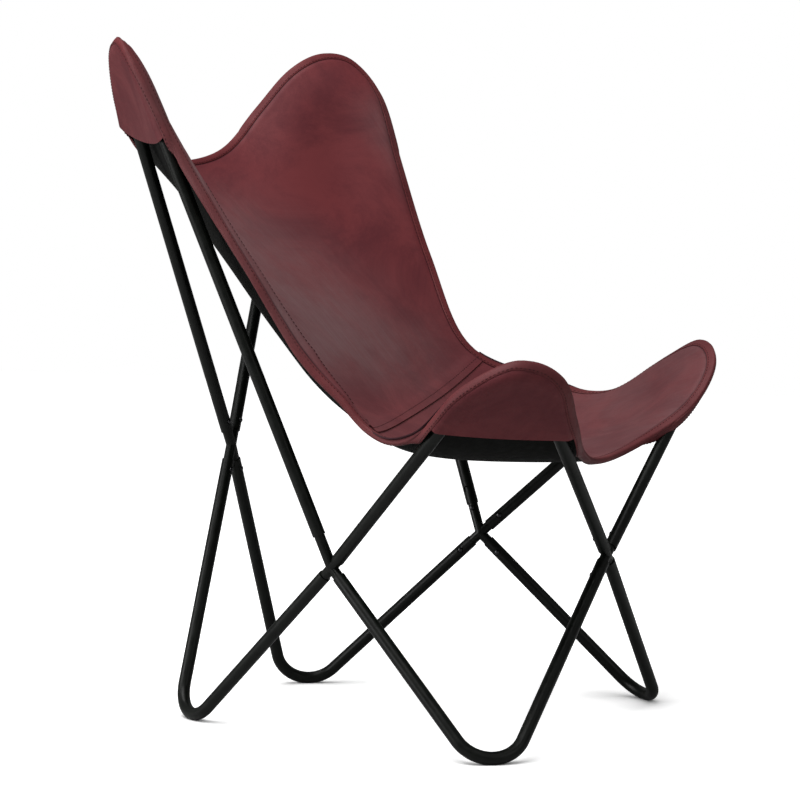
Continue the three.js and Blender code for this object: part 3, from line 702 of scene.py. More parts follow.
class TubeFrame:
    """The knock-down frame: eight V tubes on four X connectors."""

    def __init__(self, sizes: FrameSizes) -> None:
        """Lays the frame out.

        Args:
            sizes: its driving sizes.
        """
        self.sizes = sizes
        back = Vector((0, *sizes.back_crossing))
        front = Vector((0, *sizes.front_crossing))
        top = {}
        foot = {}
        for side in Side:
            flip = Vector((side.value, 1, 1))
            sides = Vector(sizes.side_crossing) * flip
            top["back", side] = Vector(sizes.back_top) * flip
            top["front", side] = Vector(sizes.front_top) * flip
            foot["rear", side] = self.foot_corner(Vector((*sizes.rear_foot, 0)) * flip, back, sides)
            foot["front", side] = self.foot_corner(Vector((*sizes.front_foot, 0)) * flip, front, sides)
        left, right = Side.LEFT, Side.RIGHT
        self.crossings = {
            "back": Crossing("back", back, {
                "upper_left": top["back", left], "upper_right": top["back", right],
                "lower_left": foot["rear", left], "lower_right": foot["rear", right]}, sizes),
            "front": Crossing("front", front, {
                "upper_left": top["front", left], "upper_right": top["front", right],
                "lower_left": foot["front", left], "lower_right": foot["front", right]}, sizes),
        }
        for side in Side:
            word = side.name.lower()
            centre = Vector(sizes.side_crossing) * Vector((side.value, 1, 1))
            self.crossings[word] = Crossing(word, centre, {
                "upper_back": top["back", side], "upper_front": top["front", side],
                "lower_back": foot["rear", side], "lower_front": foot["front", side]}, sizes)
            self.crossings[word].arms["upper_back"].tube_end = sizes.loose_end
        self.tubes: list[tuple[BentTube, list[tuple[Crossing, str]]]] = []
        self.top_tubes: dict[str, BentTube] = {}
        for side in Side:
            word = side.name.lower()
            self.join(f"back_{word}_top_tube", top["back", side], sizes.back_bend,
                      [("back", f"upper_{word}"), (word, "upper_back")])
            self.join(f"front_{word}_top_tube", top["front", side], sizes.front_bend,
                      [(word, "upper_front"), ("front", f"upper_{word}")])
            self.join(f"rear_{word}_foot_tube", foot["rear", side], sizes.foot_bend,
                      [("back", f"lower_{word}"), (word, "lower_back")])
            self.join(f"front_{word}_foot_tube", foot["front", side], sizes.foot_bend,
                      [(word, "lower_front"), ("front", f"lower_{word}")])

    def foot_corner(self, corner: Vector, first: Vector, second: Vector) -> Vector:
        """Lowers a foot's corner until the underside of its bend stands on the floor.

        Args:
            corner: the corner's place, at any height.
            first: the crossing that one leg goes to.
            second: the crossing that the other leg goes to.

        Returns:
            The corner.
        """
        for _ in range(self.sizes.foot_rounds):
            rod = BentTube("", first, corner, second, self.sizes.foot_bend)
            corner = corner - Vector((0, 0, rod.lowest - self.sizes.tube_radius + self.sizes.foot_flat))
        return corner

    def join(self, name: str, corner: Vector, bend: float, ends: list[tuple[str, str]]) -> None:
        """Adds a V tube between two arms.

        Args:
            name: the node's name.
            corner: where its legs would meet.
            bend: the bend's radius.
            ends: the crossing and arm at each end.
        """
        spots = [(self.crossings[where], arm) for where, arm in ends]
        start, end = (where.end_point(arm) for where, arm in spots)
        tube = BentTube(name, start, corner, end, bend)
        self.tubes.append((tube, spots))
        if name.endswith("top_tube"):
            self.top_tubes[name] = tube

    def build(self, coat: bpy.types.Material, inner_coat: bpy.types.Material,
              steel: bpy.types.Material) -> None:
        """Builds and dresses every piece of the frame.

        Args:
            coat: the tubes' finish.
            inner_coat: the connectors' finish.
            steel: the buttons' and clips' finish.
        """
        for tube, spots in self.tubes:
            piece = tube.build(self.sizes)
            for where, arm in spots:
                cut_with(piece, where.hole_tool(arm), "DIFFERENCE")
            soften(piece)
            install(piece, BODY, coat, [tube.name])
        for name, where in self.crossings.items():
            piece = where.build_connector()
            soften(piece, angle=30.0)
            install(piece, BODY, inner_coat, [f"{name}_connector"])
            for arm in where.arms:
                node = f"snap_button_{name}_{arm}"
                button = where.build_button(arm)
                soften(button, angle=50.0)
                install(button, node, steel, [node])
                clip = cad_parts[f"spring_clip_{name}_{arm}"]
                clip.data.materials.clear()
                clip.data.materials.append(steel)


# Sling


def hermite(stations: Sequence[float], values: Sequence[float]) -> Callable[[Array], Array]:
    """A smooth curve through values at stations, held at its ends.

    Args:
        stations: where the values are.
        values: the values.

    Returns:
        A function of a place between the stations.
    """
    xs, ys = np.array(stations, float), np.array(values, float)
    slopes = np.gradient(ys)
    inner = np.arange(1, len(xs) - 1)
    slopes[inner] = (ys[inner + 1] - ys[inner - 1]) / (xs[inner + 1] - xs[inner - 1])
    slopes[0] = (ys[1] - ys[0]) / (xs[1] - xs[0])
    slopes[-1] = (ys[-1] - ys[-2]) / (xs[-1] - xs[-2])

    def curve(place: Array) -> Array:
        """The curve's value at a place."""
        at = np.clip(place, xs[0], xs[-1])
        i = np.clip(np.searchsorted(xs, at) - 1, 0, len(xs) - 2)
        h = xs[i + 1] - xs[i]
        t = (at - xs[i]) / h
        u = 1 - t
        return ((1 + 2 * t) * u * u * ys[i] + t * u * u * h * slopes[i]
                + t * t * (3 - 2 * t) * ys[i + 1] - t * t * u * h * slopes[i + 1])

    return curve


@dataclass(frozen=True)
class PocketCut:
    """A pocket: the marks where its lower edge meets the cut edge and its bow in millimetres.

    Flat is its cut's width and length and area the cut's area, in metres. Past its marks
    the binding goes back to the sling over as many marks as fade says. Reach is how many
    times the binding's width it covers of the pocket.
    """

    marks: tuple[float, float]
    bow: float
    flat: tuple[float, float]
    area: float
    fade: float
    reach: float


@dataclass(frozen=True)
class SlingSizes:
    """Cut and hang of the sling, in millimetres, degrees and marks counted in the cut's points.

    The middle line starts at the front, s runs along it and w across it. The anchor is one
    s with its y and z. Slope and turns are given at the stations. Rows of the cut are s, half
    the width and how far both edges are shifted; settle moves single marks along and across.
    """

    anchor: tuple[float, float, float] = (300.0, -120.0, 348.0)
    stations: tuple[float, ...] = (-100, 40, 170, 300, 400, 500, 650, 850, 1040)
    slope: tuple[float, ...] = (-42, -8, -3, 12.5, 31, 46.5, 41, 41, 45.5)
    inner_turn: tuple[float, ...] = (37.5, 27.5, 13, 3.5, 6, 7, 12.5, 28, 45)
    outer_turn: tuple[float, ...] = (59.5, 53, 37, 30, 45, 44.5, 42.5, 40.5, 44)
    inner_width: float = 150.0
    cut: tuple[tuple[float, float, float], ...] = (
        (147, 0, 0), (117, 117, 0), (90, 213, 0), (80, 288, 2), (118, 344, 3), (193, 351, 6),
        (259, 320, 18), (326, 299, 28), (407, 279, 7), (507, 269, -13), (625, 304, -10),
        (749, 338, 3), (843, 373, 4), (906, 371, 2), (936, 335, 0), (940, 274, 0), (920, 199, 0),
        (891, 109, 0), (890, 0, 0))
    settle: tuple[tuple[int, float, float], ...] = (
        (0, -8, 0), (1, 18, 0), (21, -5, 0), (22, -19, 4), (23, -15, 6), (24, -4, 2))
    front_tip: float = 3.6
    back_tip: float = 13.5
    seam_right: float = 8.55
    seam_left: float = 7.3
    front_pocket: PocketCut = PocketCut((1.75, 5.6), 0.0, (0.26, 0.11), 0.017, 0.8, 1.6)
    back_pocket: PocketCut = PocketCut((11.2, 16.4), -12.0, (0.28, 0.15), 0.024, 0.35, 1.1)
    leather: float = 1.8
    lining: float = 0.8
    layer_gap: float = 0.3
    pocket_gap: float = 0.8
    binding_width: float = 10.0
    rim: float = 1.2
    lap: float = 14.0
    lap_slack: float = 0.15
    lap_fade: float = 12.0
    lap_start: float = 6.0
    lap_full: float = 14.0
    pocket_ends: float = 3.0
    pocket_sewn: float = 2.0
    pocket_crowding: float = 1.5
    pocket_ease: float = 1.5
    pocket_hem: float = 1.0
    pocket_ramp: float = 12.0
    pocket_deepest: float = 40.0
    drape_spread: float = 55.0
    drape_blur: float = 24.0
    drape_gain: float = 1.06
    drape_clear: float = 11.5
    drape_most: float = 15.0
    drape_hem: float = 16.0
    lip_height: float = 26.0
    lip_crest: float = 18.0
    lip_fade: float = 80.0
    lip_marks: tuple[float, ...] = (6.9, 7.3, 7.9, 8.7, 9.6, 10.6, 11.3)
    lip_share: tuple[float, ...] = (0.0, 0.1, 0.6, 1.0, 0.85, 0.4, 0.0)
    lip_narrowing: float = 0.45
    # Stretch of the kept edge distance where the edge rolls over, which moves the painted shade line beside
    # the binding.
    shade_line_widening: float = 0.8
    shade_line_fade: float = 30.0


@dataclass(frozen=True)
class StitchSizes:
    """Stitches and their rows in millimetres, and the lip rows' ends in marks from the front."""

    pitch: float = 5.2
    length: float = 3.8
    half_width: float = 0.42
    half_height: float = 0.36
    look_ahead: float = 0.5
    proud: float = 1.35
    inner_inset: float = 2.4
    outer_inset: float = 1.6
    edge_points: int = 1600
    lip_marks: tuple[float, float] = (10.6, 7.7)
    lip_insets: tuple[float, ...] = (15.0, 18.5)
    lip_proud: float = 0.2
    lip_points: int = 500
    seam_past: float = 3.0
    seam_inset: float = 2.5
    seam_proud: float = 0.35
    seam_points: int = 400


class SlingSurface:
    """The hanging leather as a formula: any place on the flat cut goes to a point in the room."""

    ACROSS_STEPS = 18
    OUTLINE_STEPS = 10
    MIDDLE = 500.0
    LINE_ENDS = (-120.0, 1080.0)
    FIELD_STEP = 5.0
    FIELD_ALONG = (-60.0, 1060.0)
    FIELD_ACROSS = (-460.0, 461.0)
    BLUR_REACH = 15
    AXIS_STEP = 9 * MM
    LEAST_FACING = 0.5
    LAST_CELL = 1.001
    CHUNK = 4000

    def __init__(self, sizes: SlingSizes, tubes: dict[str, BentTube]) -> None:
        """Sums the middle line up and samples the outline and the tubes.

        Args:
            sizes: the sling's sizes.
            tubes: the top tubes that it hangs on, by name.
        """
        self.sizes = sizes
        self.slope = hermite(sizes.stations, np.radians(sizes.slope))
        self.inner = hermite(sizes.stations, np.radians(sizes.inner_turn))
        self.outer = hermite(sizes.stations, np.radians(sizes.outer_turn))
        self.line_s = np.arange(*self.LINE_ENDS, 1.0)
        middle = self.slope(self.line_s[:-1] + 0.5)
        line_y = np.concatenate([[0.0], np.cumsum(np.cos(middle))])
        line_z = np.concatenate([[0.0], np.cumsum(np.sin(middle))])
        s, y, z = sizes.anchor
        self.line_y = line_y - np.interp(s, self.line_s, line_y) + y
        self.line_z = line_z - np.interp(s, self.line_s, line_z) + z
        right = [(s, half + slip) for s, half, slip in sizes.cut]
        left = [(s, slip - half) for s, half, slip in sizes.cut[1:-1]]
        self.loop = np.array(right + left[::-1], float)
        for mark, along, across in sizes.settle:
            self.loop[mark] += (along, across)
        self.marks = np.arange(0, len(self.loop), 1 / self.OUTLINE_STEPS)
        self.edge_points = self.outline(self.marks)[0]
        axes = [point for tube in tubes.values() for point in tube.axis(self.AXIS_STEP)]
        self.axis_points = np.array(axes) / MM
        self.tube_radius = FrameSizes().tube_radius / MM
        ordered = [tubes[f"{end}_{side}_top_tube"] for end in ("front", "back") for side in ("left", "right")]
        facing = [tube.spin_axis if tube.spin_axis.z > 0 else -tube.spin_axis for tube in ordered]
        self.bend_centres = np.array([tube.centre for tube in ordered]) / MM
        self.bend_facings = np.array(facing)
        self.field_s = np.arange(*self.FIELD_ALONG, self.FIELD_STEP)
        self.field_w = np.arange(*self.FIELD_ACROSS, self.FIELD_STEP)
        self.push_field = self.sum_push()

    def chunks(self, count: int) -> Iterator[slice]:
        """Slices that take many places a part at a time, to save memory."""
        for first in range(0, count, self.CHUNK):
            yield slice(first, first + self.CHUNK)

    def outline(self, mark: Array) -> tuple[Array, Array]:
        """The cut edge at marks counted in the cut's points.

        Args:
            mark: the marks, any number of turns.

        Returns:
            Places and unit tangents on the flat.
        """
        count = len(self.loop)
        i = np.floor(mark).astype(int)
        t = (mark - i)[..., None]
        a, b, c, d = (self.loop[(i + k) % count] for k in (-1, 0, 1, 2))
        place = 0.5 * (2 * b + (c - a) * t + (2 * a - 5 * b + 4 * c - d) * t ** 2
                       + (3 * b - a - 3 * c + d) * t ** 3)
        slope = 0.5 * ((c - a) + 2 * (2 * a - 5 * b + 4 * c - d) * t
                       + 3 * (3 * b - a - 3 * c + d) * t ** 2)
        return place, slope / np.linalg.norm(slope, axis=-1, keepdims=True)

    def inset(self, mark: Array, distance: Array) -> Array:
        """Places on the flat at a distance inside the cut edge.

        Args:
            mark: marks along the edge.
            distance: how far inside.

        Returns:
            Places as s and w.
        """
        place, tangent = self.outline(np.asarray(mark, float))
        inward = np.stack([tangent[..., 1], -tangent[..., 0]], -1)
        return place + inward * np.asarray(distance, float)[..., None]

    def edge(self, place: Array) -> tuple[Array, Array]:
        """How far places are from the cut edge, and the mark that is nearest.

        Args:
            place: places on the flat.

        Returns:
            Distances and marks.
        """
        starts = self.edge_points
        runs = np.roll(starts, -1, axis=0) - starts
        squares = (runs ** 2).sum(-1)
        distance = np.empty(len(place))
        mark = np.empty(len(place))
        for part in self.chunks(len(place)):
            away = place[part, None] - starts
            t = np.clip((away * runs).sum(-1) / squares, 0, 1)
            gap = np.hypot(*np.moveaxis(away - t[..., None] * runs, -1, 0))
            nearest = gap.argmin(1)
            rows = np.arange(len(nearest))
            distance[part] = gap[rows, nearest]
            mark[part] = self.marks[nearest] + t[rows, nearest] / self.OUTLINE_STEPS
        return distance, mark

    def turn(self, s: Array, across: Array) -> Array:
        """How far the leather has turned up sideways at a distance from the middle line."""
        u = across / self.sizes.inner_width
        inner, outer = self.inner(s), self.outer(s)
        cubic = (outer - 2 * inner) / 6
        return (inner - cubic) * u + cubic * u ** 3

    def hang(self, place: Array) -> tuple[Array, Array, Array]:
        """Hangs places, before the tubes push the leather up.

        Args:
            place: places on the flat.

        Returns:
            Points, inner normals and the middle line's normals, in millimetres.
        """
        s, w = place[:, 0], place[:, 1]
        across, side = np.abs(w), np.where(w < 0, -1.0, 1.0)
        steps = (np.arange(self.ACROSS_STEPS) + 0.5) / self.ACROSS_STEPS
        turns = self.turn(s[:, None], across[:, None] * steps)
        out = np.cos(turns).mean(1) * across
        up = np.sin(turns).mean(1) * across
        slope = self.slope(s)
        y = np.interp(s, self.line_s, self.line_y)
        z = np.interp(s, self.line_s, self.line_z)
        turn = self.turn(s, across) * side
        point = np.stack([side * out, y - np.sin(slope) * up, z + np.cos(slope) * up], -1)
        normal = np.stack([-np.sin(turn), -np.sin(slope) * np.cos(turn), np.cos(slope) * np.cos(turn)], -1)
        lifted = np.stack([np.zeros_like(s), -np.sin(slope), np.cos(slope)], -1)
        return point, normal, lifted

    def sum_push(self) -> Array:
        """How far the tubes behind the leather push it up, smoothed, on a grid over the flat."""
        sizes = self.sizes
        s, w = np.meshgrid(self.field_s, self.field_w, indexing="ij")
        point, normal, _ = self.hang(np.stack([s.ravel(), w.ravel()], -1))
        rise = np.zeros(len(point))
        for part in self.chunks(len(point)):
            away = self.axis_points - point[part, None]
            height = (away * normal[part, None]).sum(-1)
            aside = (away ** 2).sum(-1) - height ** 2
            push = np.clip(height + sizes.drape_clear, 0, sizes.drape_most)
            rise[part] = (push * np.exp(-aside / sizes.drape_spread ** 2)).max(1)
        reach = np.arange(-self.BLUR_REACH, self.BLUR_REACH + 1) * self.FIELD_STEP
        kernel = np.exp(-0.5 * (reach / sizes.drape_blur) ** 2)
        kernel *= math.sqrt(sizes.drape_gain) / kernel.sum()
        field = rise.reshape(s.shape)
        for axis in (0, 1):
            field = np.apply_along_axis(np.convolve, axis, field, kernel, "same")
        return field

    def over_tubes(self, place: Array) -> Array:
        """How far the tubes push the leather up at places on the flat."""
        field = self.push_field
        rows, columns = (count - self.LAST_CELL for count in field.shape)
        row = np.clip((place[:, 0] - self.field_s[0]) / self.FIELD_STEP, 0, rows)
        column = np.clip((place[:, 1] - self.field_w[0]) / self.FIELD_STEP, 0, columns)
        i, j = row.astype(int), column.astype(int)
        a, b = row - i, column - j
        near = field[i, j] * (1 - b) + field[i, j + 1] * b
        far = field[i + 1, j] * (1 - b) + field[i + 1, j + 1] * b
        return near * (1 - a) + far * a

    def lip_share(self, mark: Array) -> Array:
        """How far the left side's free edge is rolled over at marks, from 0 to 1."""
        from_front = len(self.loop) - np.mod(mark, len(self.loop))
        return np.interp(from_front, self.sizes.lip_marks, self.sizes.lip_share)

    def lip(self, distance: Array, mark: Array) -> Array:
        """How far the left side's free edge rises before it falls over outwards."""
        crest = self.sizes.lip_crest
        outer = np.sin(np.clip(distance / crest, 0, 1) * math.pi / 2)
        inner = 1 - smoothstep(crest, self.sizes.lip_fade, distance)
        return self.sizes.lip_height * self.lip_share(mark) * np.where(distance < crest, outer, inner)

    def top(self, place: Array) -> Array:
        """Points of the leather's upper face, in millimetres."""
        distance, mark = self.edge(place)
        point, normal, lifted = self.hang(place)
        rise = self.over_tubes(place) * smoothstep(0, self.sizes.drape_hem, distance)
        return point + normal * rise[:, None] + lifted * self.lip(distance, mark)[:, None]

    def face(self, place: Array) -> tuple[Array, Array]:
        """Points and normals of the leather's upper face.

        Args:
            place: places on the flat.

        Returns:
            Points in millimetres and unit normals.
        """
        here = self.top(place)
        return here, self.facing(self.top, place, here)

    def facing(self, layer: Callable[[Array], Array], place: Array, here: Array) -> Array:
        """Unit normals of a layer.

        Args:
            layer: the layer's points for places, in millimetres.
            place: places on the flat.
            here: the layer's points there.

        Returns:
            Normals, towards the sitter.
        """
        back = np.where(place[:, :1] < self.MIDDLE, 1.0, -1.0)
        right = np.where(place[:, 1:] < 0, 1.0, -1.0)
        along = (layer(place + back * (1.0, 0.0)) - here) * back
        across = (layer(place + right * (0.0, 1.0)) - here) * right
        normal = np.cross(across, along)
        return normal / np.linalg.norm(normal, axis=1, keepdims=True)

    def shape(self, place: Array, height: Array) -> Array:
        """Points of the finished hang at heights over the leather's upper face.

        Args:
            place: places on the flat.
            height: heights along the leather's normals.

        Returns:
            Points in metres.
        """
        here, normal = self.face(place)
        return (here + normal * height[:, None]) * MM

    def cut_share(self, mark: Array, cut: PocketCut) -> Array:
        """Whether marks lie along the pockets of a cut, faded past their ends."""
        count = len(self.loop)
        half = np.minimum(np.mod(mark, count), count - np.mod(mark, count))
        first, last = cut.marks
        return smoothstep(first - cut.fade, first, half) * (1 - smoothstep(last, last + cut.fade, half))

    def pocket_share(self, mark: Array) -> Array:
        """Whether marks lie along a pocket, faded past its ends."""
        return sum(self.cut_share(mark, cut) for cut in (self.sizes.front_pocket, self.sizes.back_pocket))

    def under(self, place: Array) -> Array:
        """Points of the pockets' upper face, under the tubes that they hold, in millimetres."""
        sizes = self.sizes
        point, normal, _ = self.hang(place)
        distance, _ = self.edge(place)
        which = 2 * (place[:, 0] > self.MIDDLE) + (place[:, 1] > 0)
        facing = self.bend_facings[which]
        over = ((point - self.bend_centres[which]) * facing).sum(-1)
        gap = over / np.maximum((normal * facing).sum(-1), self.LEAST_FACING)
        depth = np.clip(gap + self.tube_radius + sizes.pocket_ease, 0, sizes.pocket_deepest)
        past = np.clip((distance - sizes.pocket_hem) / sizes.pocket_ramp, 0, 1)
        swell = np.sqrt(1 - (1 - past) ** 2)
        return point - normal * (depth * swell)[:, None]

    def below(self, place: Array, drop: Array) -> Array:
        """Points under the pockets' upper face.

        Args:
            place: places on the flat.
            drop: how far under it the points lie.

        Returns:
            Points in metres.
        """
        here = self.under(place)
        return (here - self.facing(self.under, place, here) * drop[:, None]) * MM


class Sling:
    """The leather sling: two panels, a lining, four pockets, a bound edge and its stitching."""

    SEAT_GRID = (110, 64)
    BACK_GRID = (120, 96)
    LINING_GRID = (100, 130)
    POCKET_GRID = (72, 36)
    BINDING_CELLS = 420
    OUTER_SHARE = 0.75
    REACH_STEPS = 33
    REACH_COLUMNS = 360

    def __init__(self, sizes: SlingSizes, stitches: StitchSizes, surface: SlingSurface) -> None:
        """Keeps the sizes and stacks the layers.

        Args:
            sizes: the sling's sizes.
            stitches: its stitches' sizes.
            surface: where the leather hangs.
        """
        self.sizes, self.stitches, self.surface = sizes, stitches, surface
        self.lining_top = -sizes.leather - sizes.layer_gap
        self.lining_bottom = self.lining_top - sizes.lining
        self.pocket_top = self.lining_bottom - sizes.pocket_gap
        self.pocket_bottom = self.pocket_top - sizes.leather

    @staticmethod
    def grid(columns: int, rows: int) -> tuple[bmesh.types.BMesh, Array, Array]:
        """Starts a sheet as a flat grid.

        Args:
            columns: cells across.
            rows: cells along.

        Returns:
            The grid and its points' shares across and along, between 0 and 1.
        """
        shape = bmesh.new()
        bmesh.ops.create_grid(shape, x_segments=columns, y_segments=rows, size=0.5)
        shares = np.array([vertex.co[:2] for vertex in shape.verts]) + 0.5
        return shape, shares[:, 0], shares[:, 1]

    def cloth(self, name: str, cells: tuple[int, int], flat: Places, height: Heights,
              thickness: float) -> bpy.types.Object:
        """Makes a sheet from a grid whose points go to places on the flat and then hang.

        Args:
            name: the piece's name.
            cells: cells across and along.
            flat: gives places from two shares between 0 and 1.
            height: gives heights from places, distances to the edge and marks.
            thickness: the sheet's thickness.

        Returns:
            The sheet, with its flat places as UV and its edge distance as an attribute.
        """
        shape, across, along = self.grid(*cells)
        place = flat(across, along)
        distance, mark = self.surface.edge(place)
        points = self.surface.shape(place, height(place, distance, mark))
        # Where the edge rolls over, the kept edge distance is stretched near the edge, which draws the
        # painted shade line beside the binding in closer.
        near = 1 - smoothstep(0, self.sizes.shade_line_fade, distance)
        widened = 1 + self.sizes.shade_line_widening * self.surface.lip_share(mark) * near
        self.lay(shape, points, place, distance * widened)
        return self.finish(name, shape, thickness)

    @staticmethod
    def lay(shape: bmesh.types.BMesh, points: Array, place: Array, distance: Array) -> None:
        """Moves a grid's points into place and keeps where they lay on the flat.

        Args:
            shape: the grid.
            points: where its points go, in metres.
            place: their places on the flat, kept as UV in metres.
            distance: their distances from the cut edge, kept as an attribute.
        """
        shape.verts.index_update()
        store = shape.verts.layers.float.new("edge_mm")
        uv = shape.loops.layers.uv.new("flat")
        for vertex, point, value in zip(shape.verts, points, distance):
            vertex.co = point
            vertex[store] = value
        for face in shape.faces:
            for loop in face.loops:
                s, w = place[loop.vert.index]
                loop[uv].uv = (w * MM, s * MM)

    @staticmethod
    def finish(name: str, shape: bmesh.types.BMesh, thickness: float) -> bpy.types.Object:
        """Makes a sheet of a laid grid, facing the sitter, with crisp cut edges and its thickness.

        Args:
            name: the piece's name.
            shape: the laid grid.
            thickness: how thick the sheet is below its face.

        Returns:
            The sheet.
        """
        shape.normal_update()
        if sum((face.normal for face in shape.faces), Vector()).z < 0:
            bmesh.ops.reverse_faces(shape, faces=shape.faces)
        for edge in shape.edges:
            edge.smooth = not edge.is_boundary
        piece = new_object(name, shape)
        piece.data.shade_smooth()
        wall = piece.modifiers.new("thickness", "SOLIDIFY")
        wall.thickness = thickness * MM
        wall.offset = -1.0
        return piece

    @staticmethod
    def level(height: float) -> Heights:
        """A height that is the same all over a sheet."""

        def heights(place: Array, distance: Array, mark: Array) -> Array:
            """The height at every place."""
            return np.full(len(place), height)

        return heights

    def patch(self, front: tuple[float, float], back: tuple[float, float], left: tuple[float, float],
              right: tuple[float, float], seam_front: bool = False, seam_back: bool = False,
              lap: float = 0.0) -> Places:
        """A four-sided stretch of the cut, with sides along the edge or the seat seam.

        Args:
            front: marks of the front side's ends, from left to right.
            back: marks of the back side's ends.
            left: marks along the left side.
            right: marks along the right side.
            seam_front: whether the front side is the straight seam.
            seam_back: whether the back side is the straight seam.
            lap: how far a seam side goes on past the seam.

        Returns:
            A function from two shares to places.
        """
        def inset(marks: Array) -> Array:
            """Places a rim's width inside the cut edge."""
            return self.surface.inset(marks, np.full(np.shape(marks), self.sizes.rim))

        def mix(ends: tuple[float, float], t: Array) -> Array:
            """Marks at shares between two ends."""
            return ends[0] + (ends[1] - ends[0]) * t

        def row(marks: tuple[float, float], straight: bool, u: Array) -> Array:
            """A front or back side at shares across."""
            if not straight:
                return inset(mix(marks, u))
            ends = inset(np.array(marks)) + np.array([lap, 0.0])
            return ends[0] + (ends[1] - ends[0]) * u[:, None]

        def places(u: Array, v: Array) -> Array:
            """Places at shares across and along."""
            low, high = row(front, seam_front, u), row(back, seam_back, u)
            ends = np.array([0.0, 1.0])
            low_ends, high_ends = row(front, seam_front, ends), row(back, seam_back, ends)
            one, two = inset(mix(left, v)), inset(mix(right, v))
            slip = np.array([lap, 0.0]) * (v[:, None] if seam_back else 0.0)
            one, two = one + slip, two + slip
            a, b = u[:, None], v[:, None]
            ruled = (1 - b) * low + b * high
            spanned = (1 - a) * one + a * two
            corners = ((1 - b) * ((1 - a) * low_ends[0] + a * low_ends[1])
                       + b * ((1 - a) * high_ends[0] + a * high_ends[1]))
            return ruled + spanned - corners

        return places

    def seam_distance(self, place: Array) -> Array:
        """How far places are behind the seat seam."""
        sizes = self.sizes
        ends = self.surface.inset(np.array([-sizes.seam_left, sizes.seam_right]), np.full(2, sizes.rim))
        run = ends[1] - ends[0]
        t = (place[:, 1] - ends[0][1]) / run[1]
        return place[:, 0] - ends[0][0] - run[0] * t

    def build_panels(self, leather: bpy.types.Material) -> None:
        """Builds the seat and back panels, lapped at the seat seam."""
        sizes = self.sizes
        tip, top = sizes.front_tip, sizes.back_tip
        seat_flat = self.patch((-tip, tip), (-sizes.seam_left, sizes.seam_right), (-tip, -sizes.seam_left),
                               (tip, sizes.seam_right), seam_back=True, lap=sizes.lap)
        seat = self.cloth("seat_leather", self.SEAT_GRID, seat_flat, self.level(0.0), sizes.leather)
        install(seat, BODY, leather, ["seat_panel"])

        def lapped(place: Array, distance: Array, mark: Array) -> Array:
            """Height of the back panel where it laps over the seat panel."""
            behind = self.seam_distance(place)
            step = sizes.leather + sizes.lap_slack
            over = 1 - smoothstep(sizes.lap, sizes.lap + sizes.lap_fade, behind)
            return step * over * smoothstep(sizes.lap_start, sizes.lap_full, distance)

        back_flat = self.patch((-sizes.seam_left, sizes.seam_right), (-top, -len(self.surface.loop) + top),
                               (-sizes.seam_left, -top), (sizes.seam_right, top), seam_front=True)
        back = self.cloth("back_leather", self.BACK_GRID, back_flat, lapped, sizes.leather)
        install(back, BODY, leather, ["back_panel"])

    def build_lining(self, canvas: bpy.types.Material) -> None:
        """Builds the black lining under both panels."""
        sizes = self.sizes
        tip, top = sizes.front_tip, sizes.back_tip
        flat = self.patch((-tip, tip), (-top, -len(self.surface.loop) + top), (-tip, -top), (tip, top))
        lining = self.cloth("lining_canvas", self.LINING_GRID, flat, self.level(self.lining_top),
                            sizes.lining)
        install(lining, BODY, canvas, ["lining"])

    def pocket_flat(self, marks: tuple[float, float], bow: float) -> Places:
        """A half-moon of the cut, from the sewn edge to a lower edge bowed towards the tip.

        Args:
            marks: where the lower edge meets the cut edge.
            bow: how far the lower edge is drawn towards the tip.

        Returns:
            A function from two shares to places.
        """
        sizes, surface = self.sizes, self.surface
        ends = surface.inset(np.array(marks), np.full(2, sizes.pocket_ends))
        tip = surface.inset(np.array([sum(marks) / 2]), np.zeros(1))[0]
        to_tip = tip - ends.mean(0)
        to_tip /= np.hypot(*to_tip)

        def places(u: Array, v: Array) -> Array:
            """Places at shares along the edge and away from it."""
            sewn = surface.inset(marks[0] + (marks[1] - marks[0]) * u, np.full(len(u), sizes.pocket_sewn))
            run = ((1 - np.cos(math.pi * u)) / 2)[:, None]
            lower = ends[0] + (ends[1] - ends[0]) * run + to_tip * bow * np.sin(math.pi * run) ** 0.5
            return sewn + (lower - sewn) * (v ** sizes.pocket_crowding)[:, None]

        return places

    def build_pocket(self, end: str, side: Side, cut: PocketCut, leather: bpy.types.Material) -> None:
        """Builds a half-moon pocket over a top bend, sewn in at the edge and open below.

        Args:
            end: the end of the chair that it is at, front or back.
            side: the side of the chair.
            cut: its cut.
            leather: its finish.
        """
        word, turn = side.name.lower(), len(self.surface.loop)
        first, last = cut.marks
        marks = cut.marks if side is Side.RIGHT else (turn - first, turn - last)
        shape, along, inward = self.grid(*self.POCKET_GRID)
        place = self.pocket_flat(marks, cut.bow)(along, inward)
        points = self.surface.below(place, 0 * along)
        _, nearest = self.surface.edge(place)
        edge = self.surface.below(self.surface.inset(nearest, 0 * nearest), 0 * nearest)
        self.lay(shape, points, place, np.linalg.norm(points - edge, axis=1) / MM / cut.reach)
        bmesh.ops.remove_doubles(shape, verts=shape.verts, dist=0.02 * MM)
        pocket = self.finish(f"{end}_{word}_pocket", shape, self.sizes.leather)
        install(pocket, BODY, leather, [f"pocket_{end}_{word}"])

    def strip_place(self, mark: Array, inside: Array) -> Array:
        """Places on the binding, which is foreshortened where the edge rolls over."""
        narrowing = 1 - self.sizes.lip_narrowing * self.surface.lip_share(mark)
        return self.surface.inset(mark, inside * narrowing)

    def outer(self, mark: Array, place: Array, height: Array) -> Array:
        """Points on the sling's outer side, over the pockets where there are any.

        Args:
            mark: the places' marks.
            place: places on the flat.
            height: heights over the leather's top.

        Returns:
            Points in metres.
        """
        points = self.surface.shape(place, height)
        under = self.surface.below(place, self.sizes.leather + self.pocket_bottom - height)
        share = self.surface.pocket_share(mark) * smoothstep(0, self.pocket_bottom, height)
        return points + (under - points) * share[:, None]

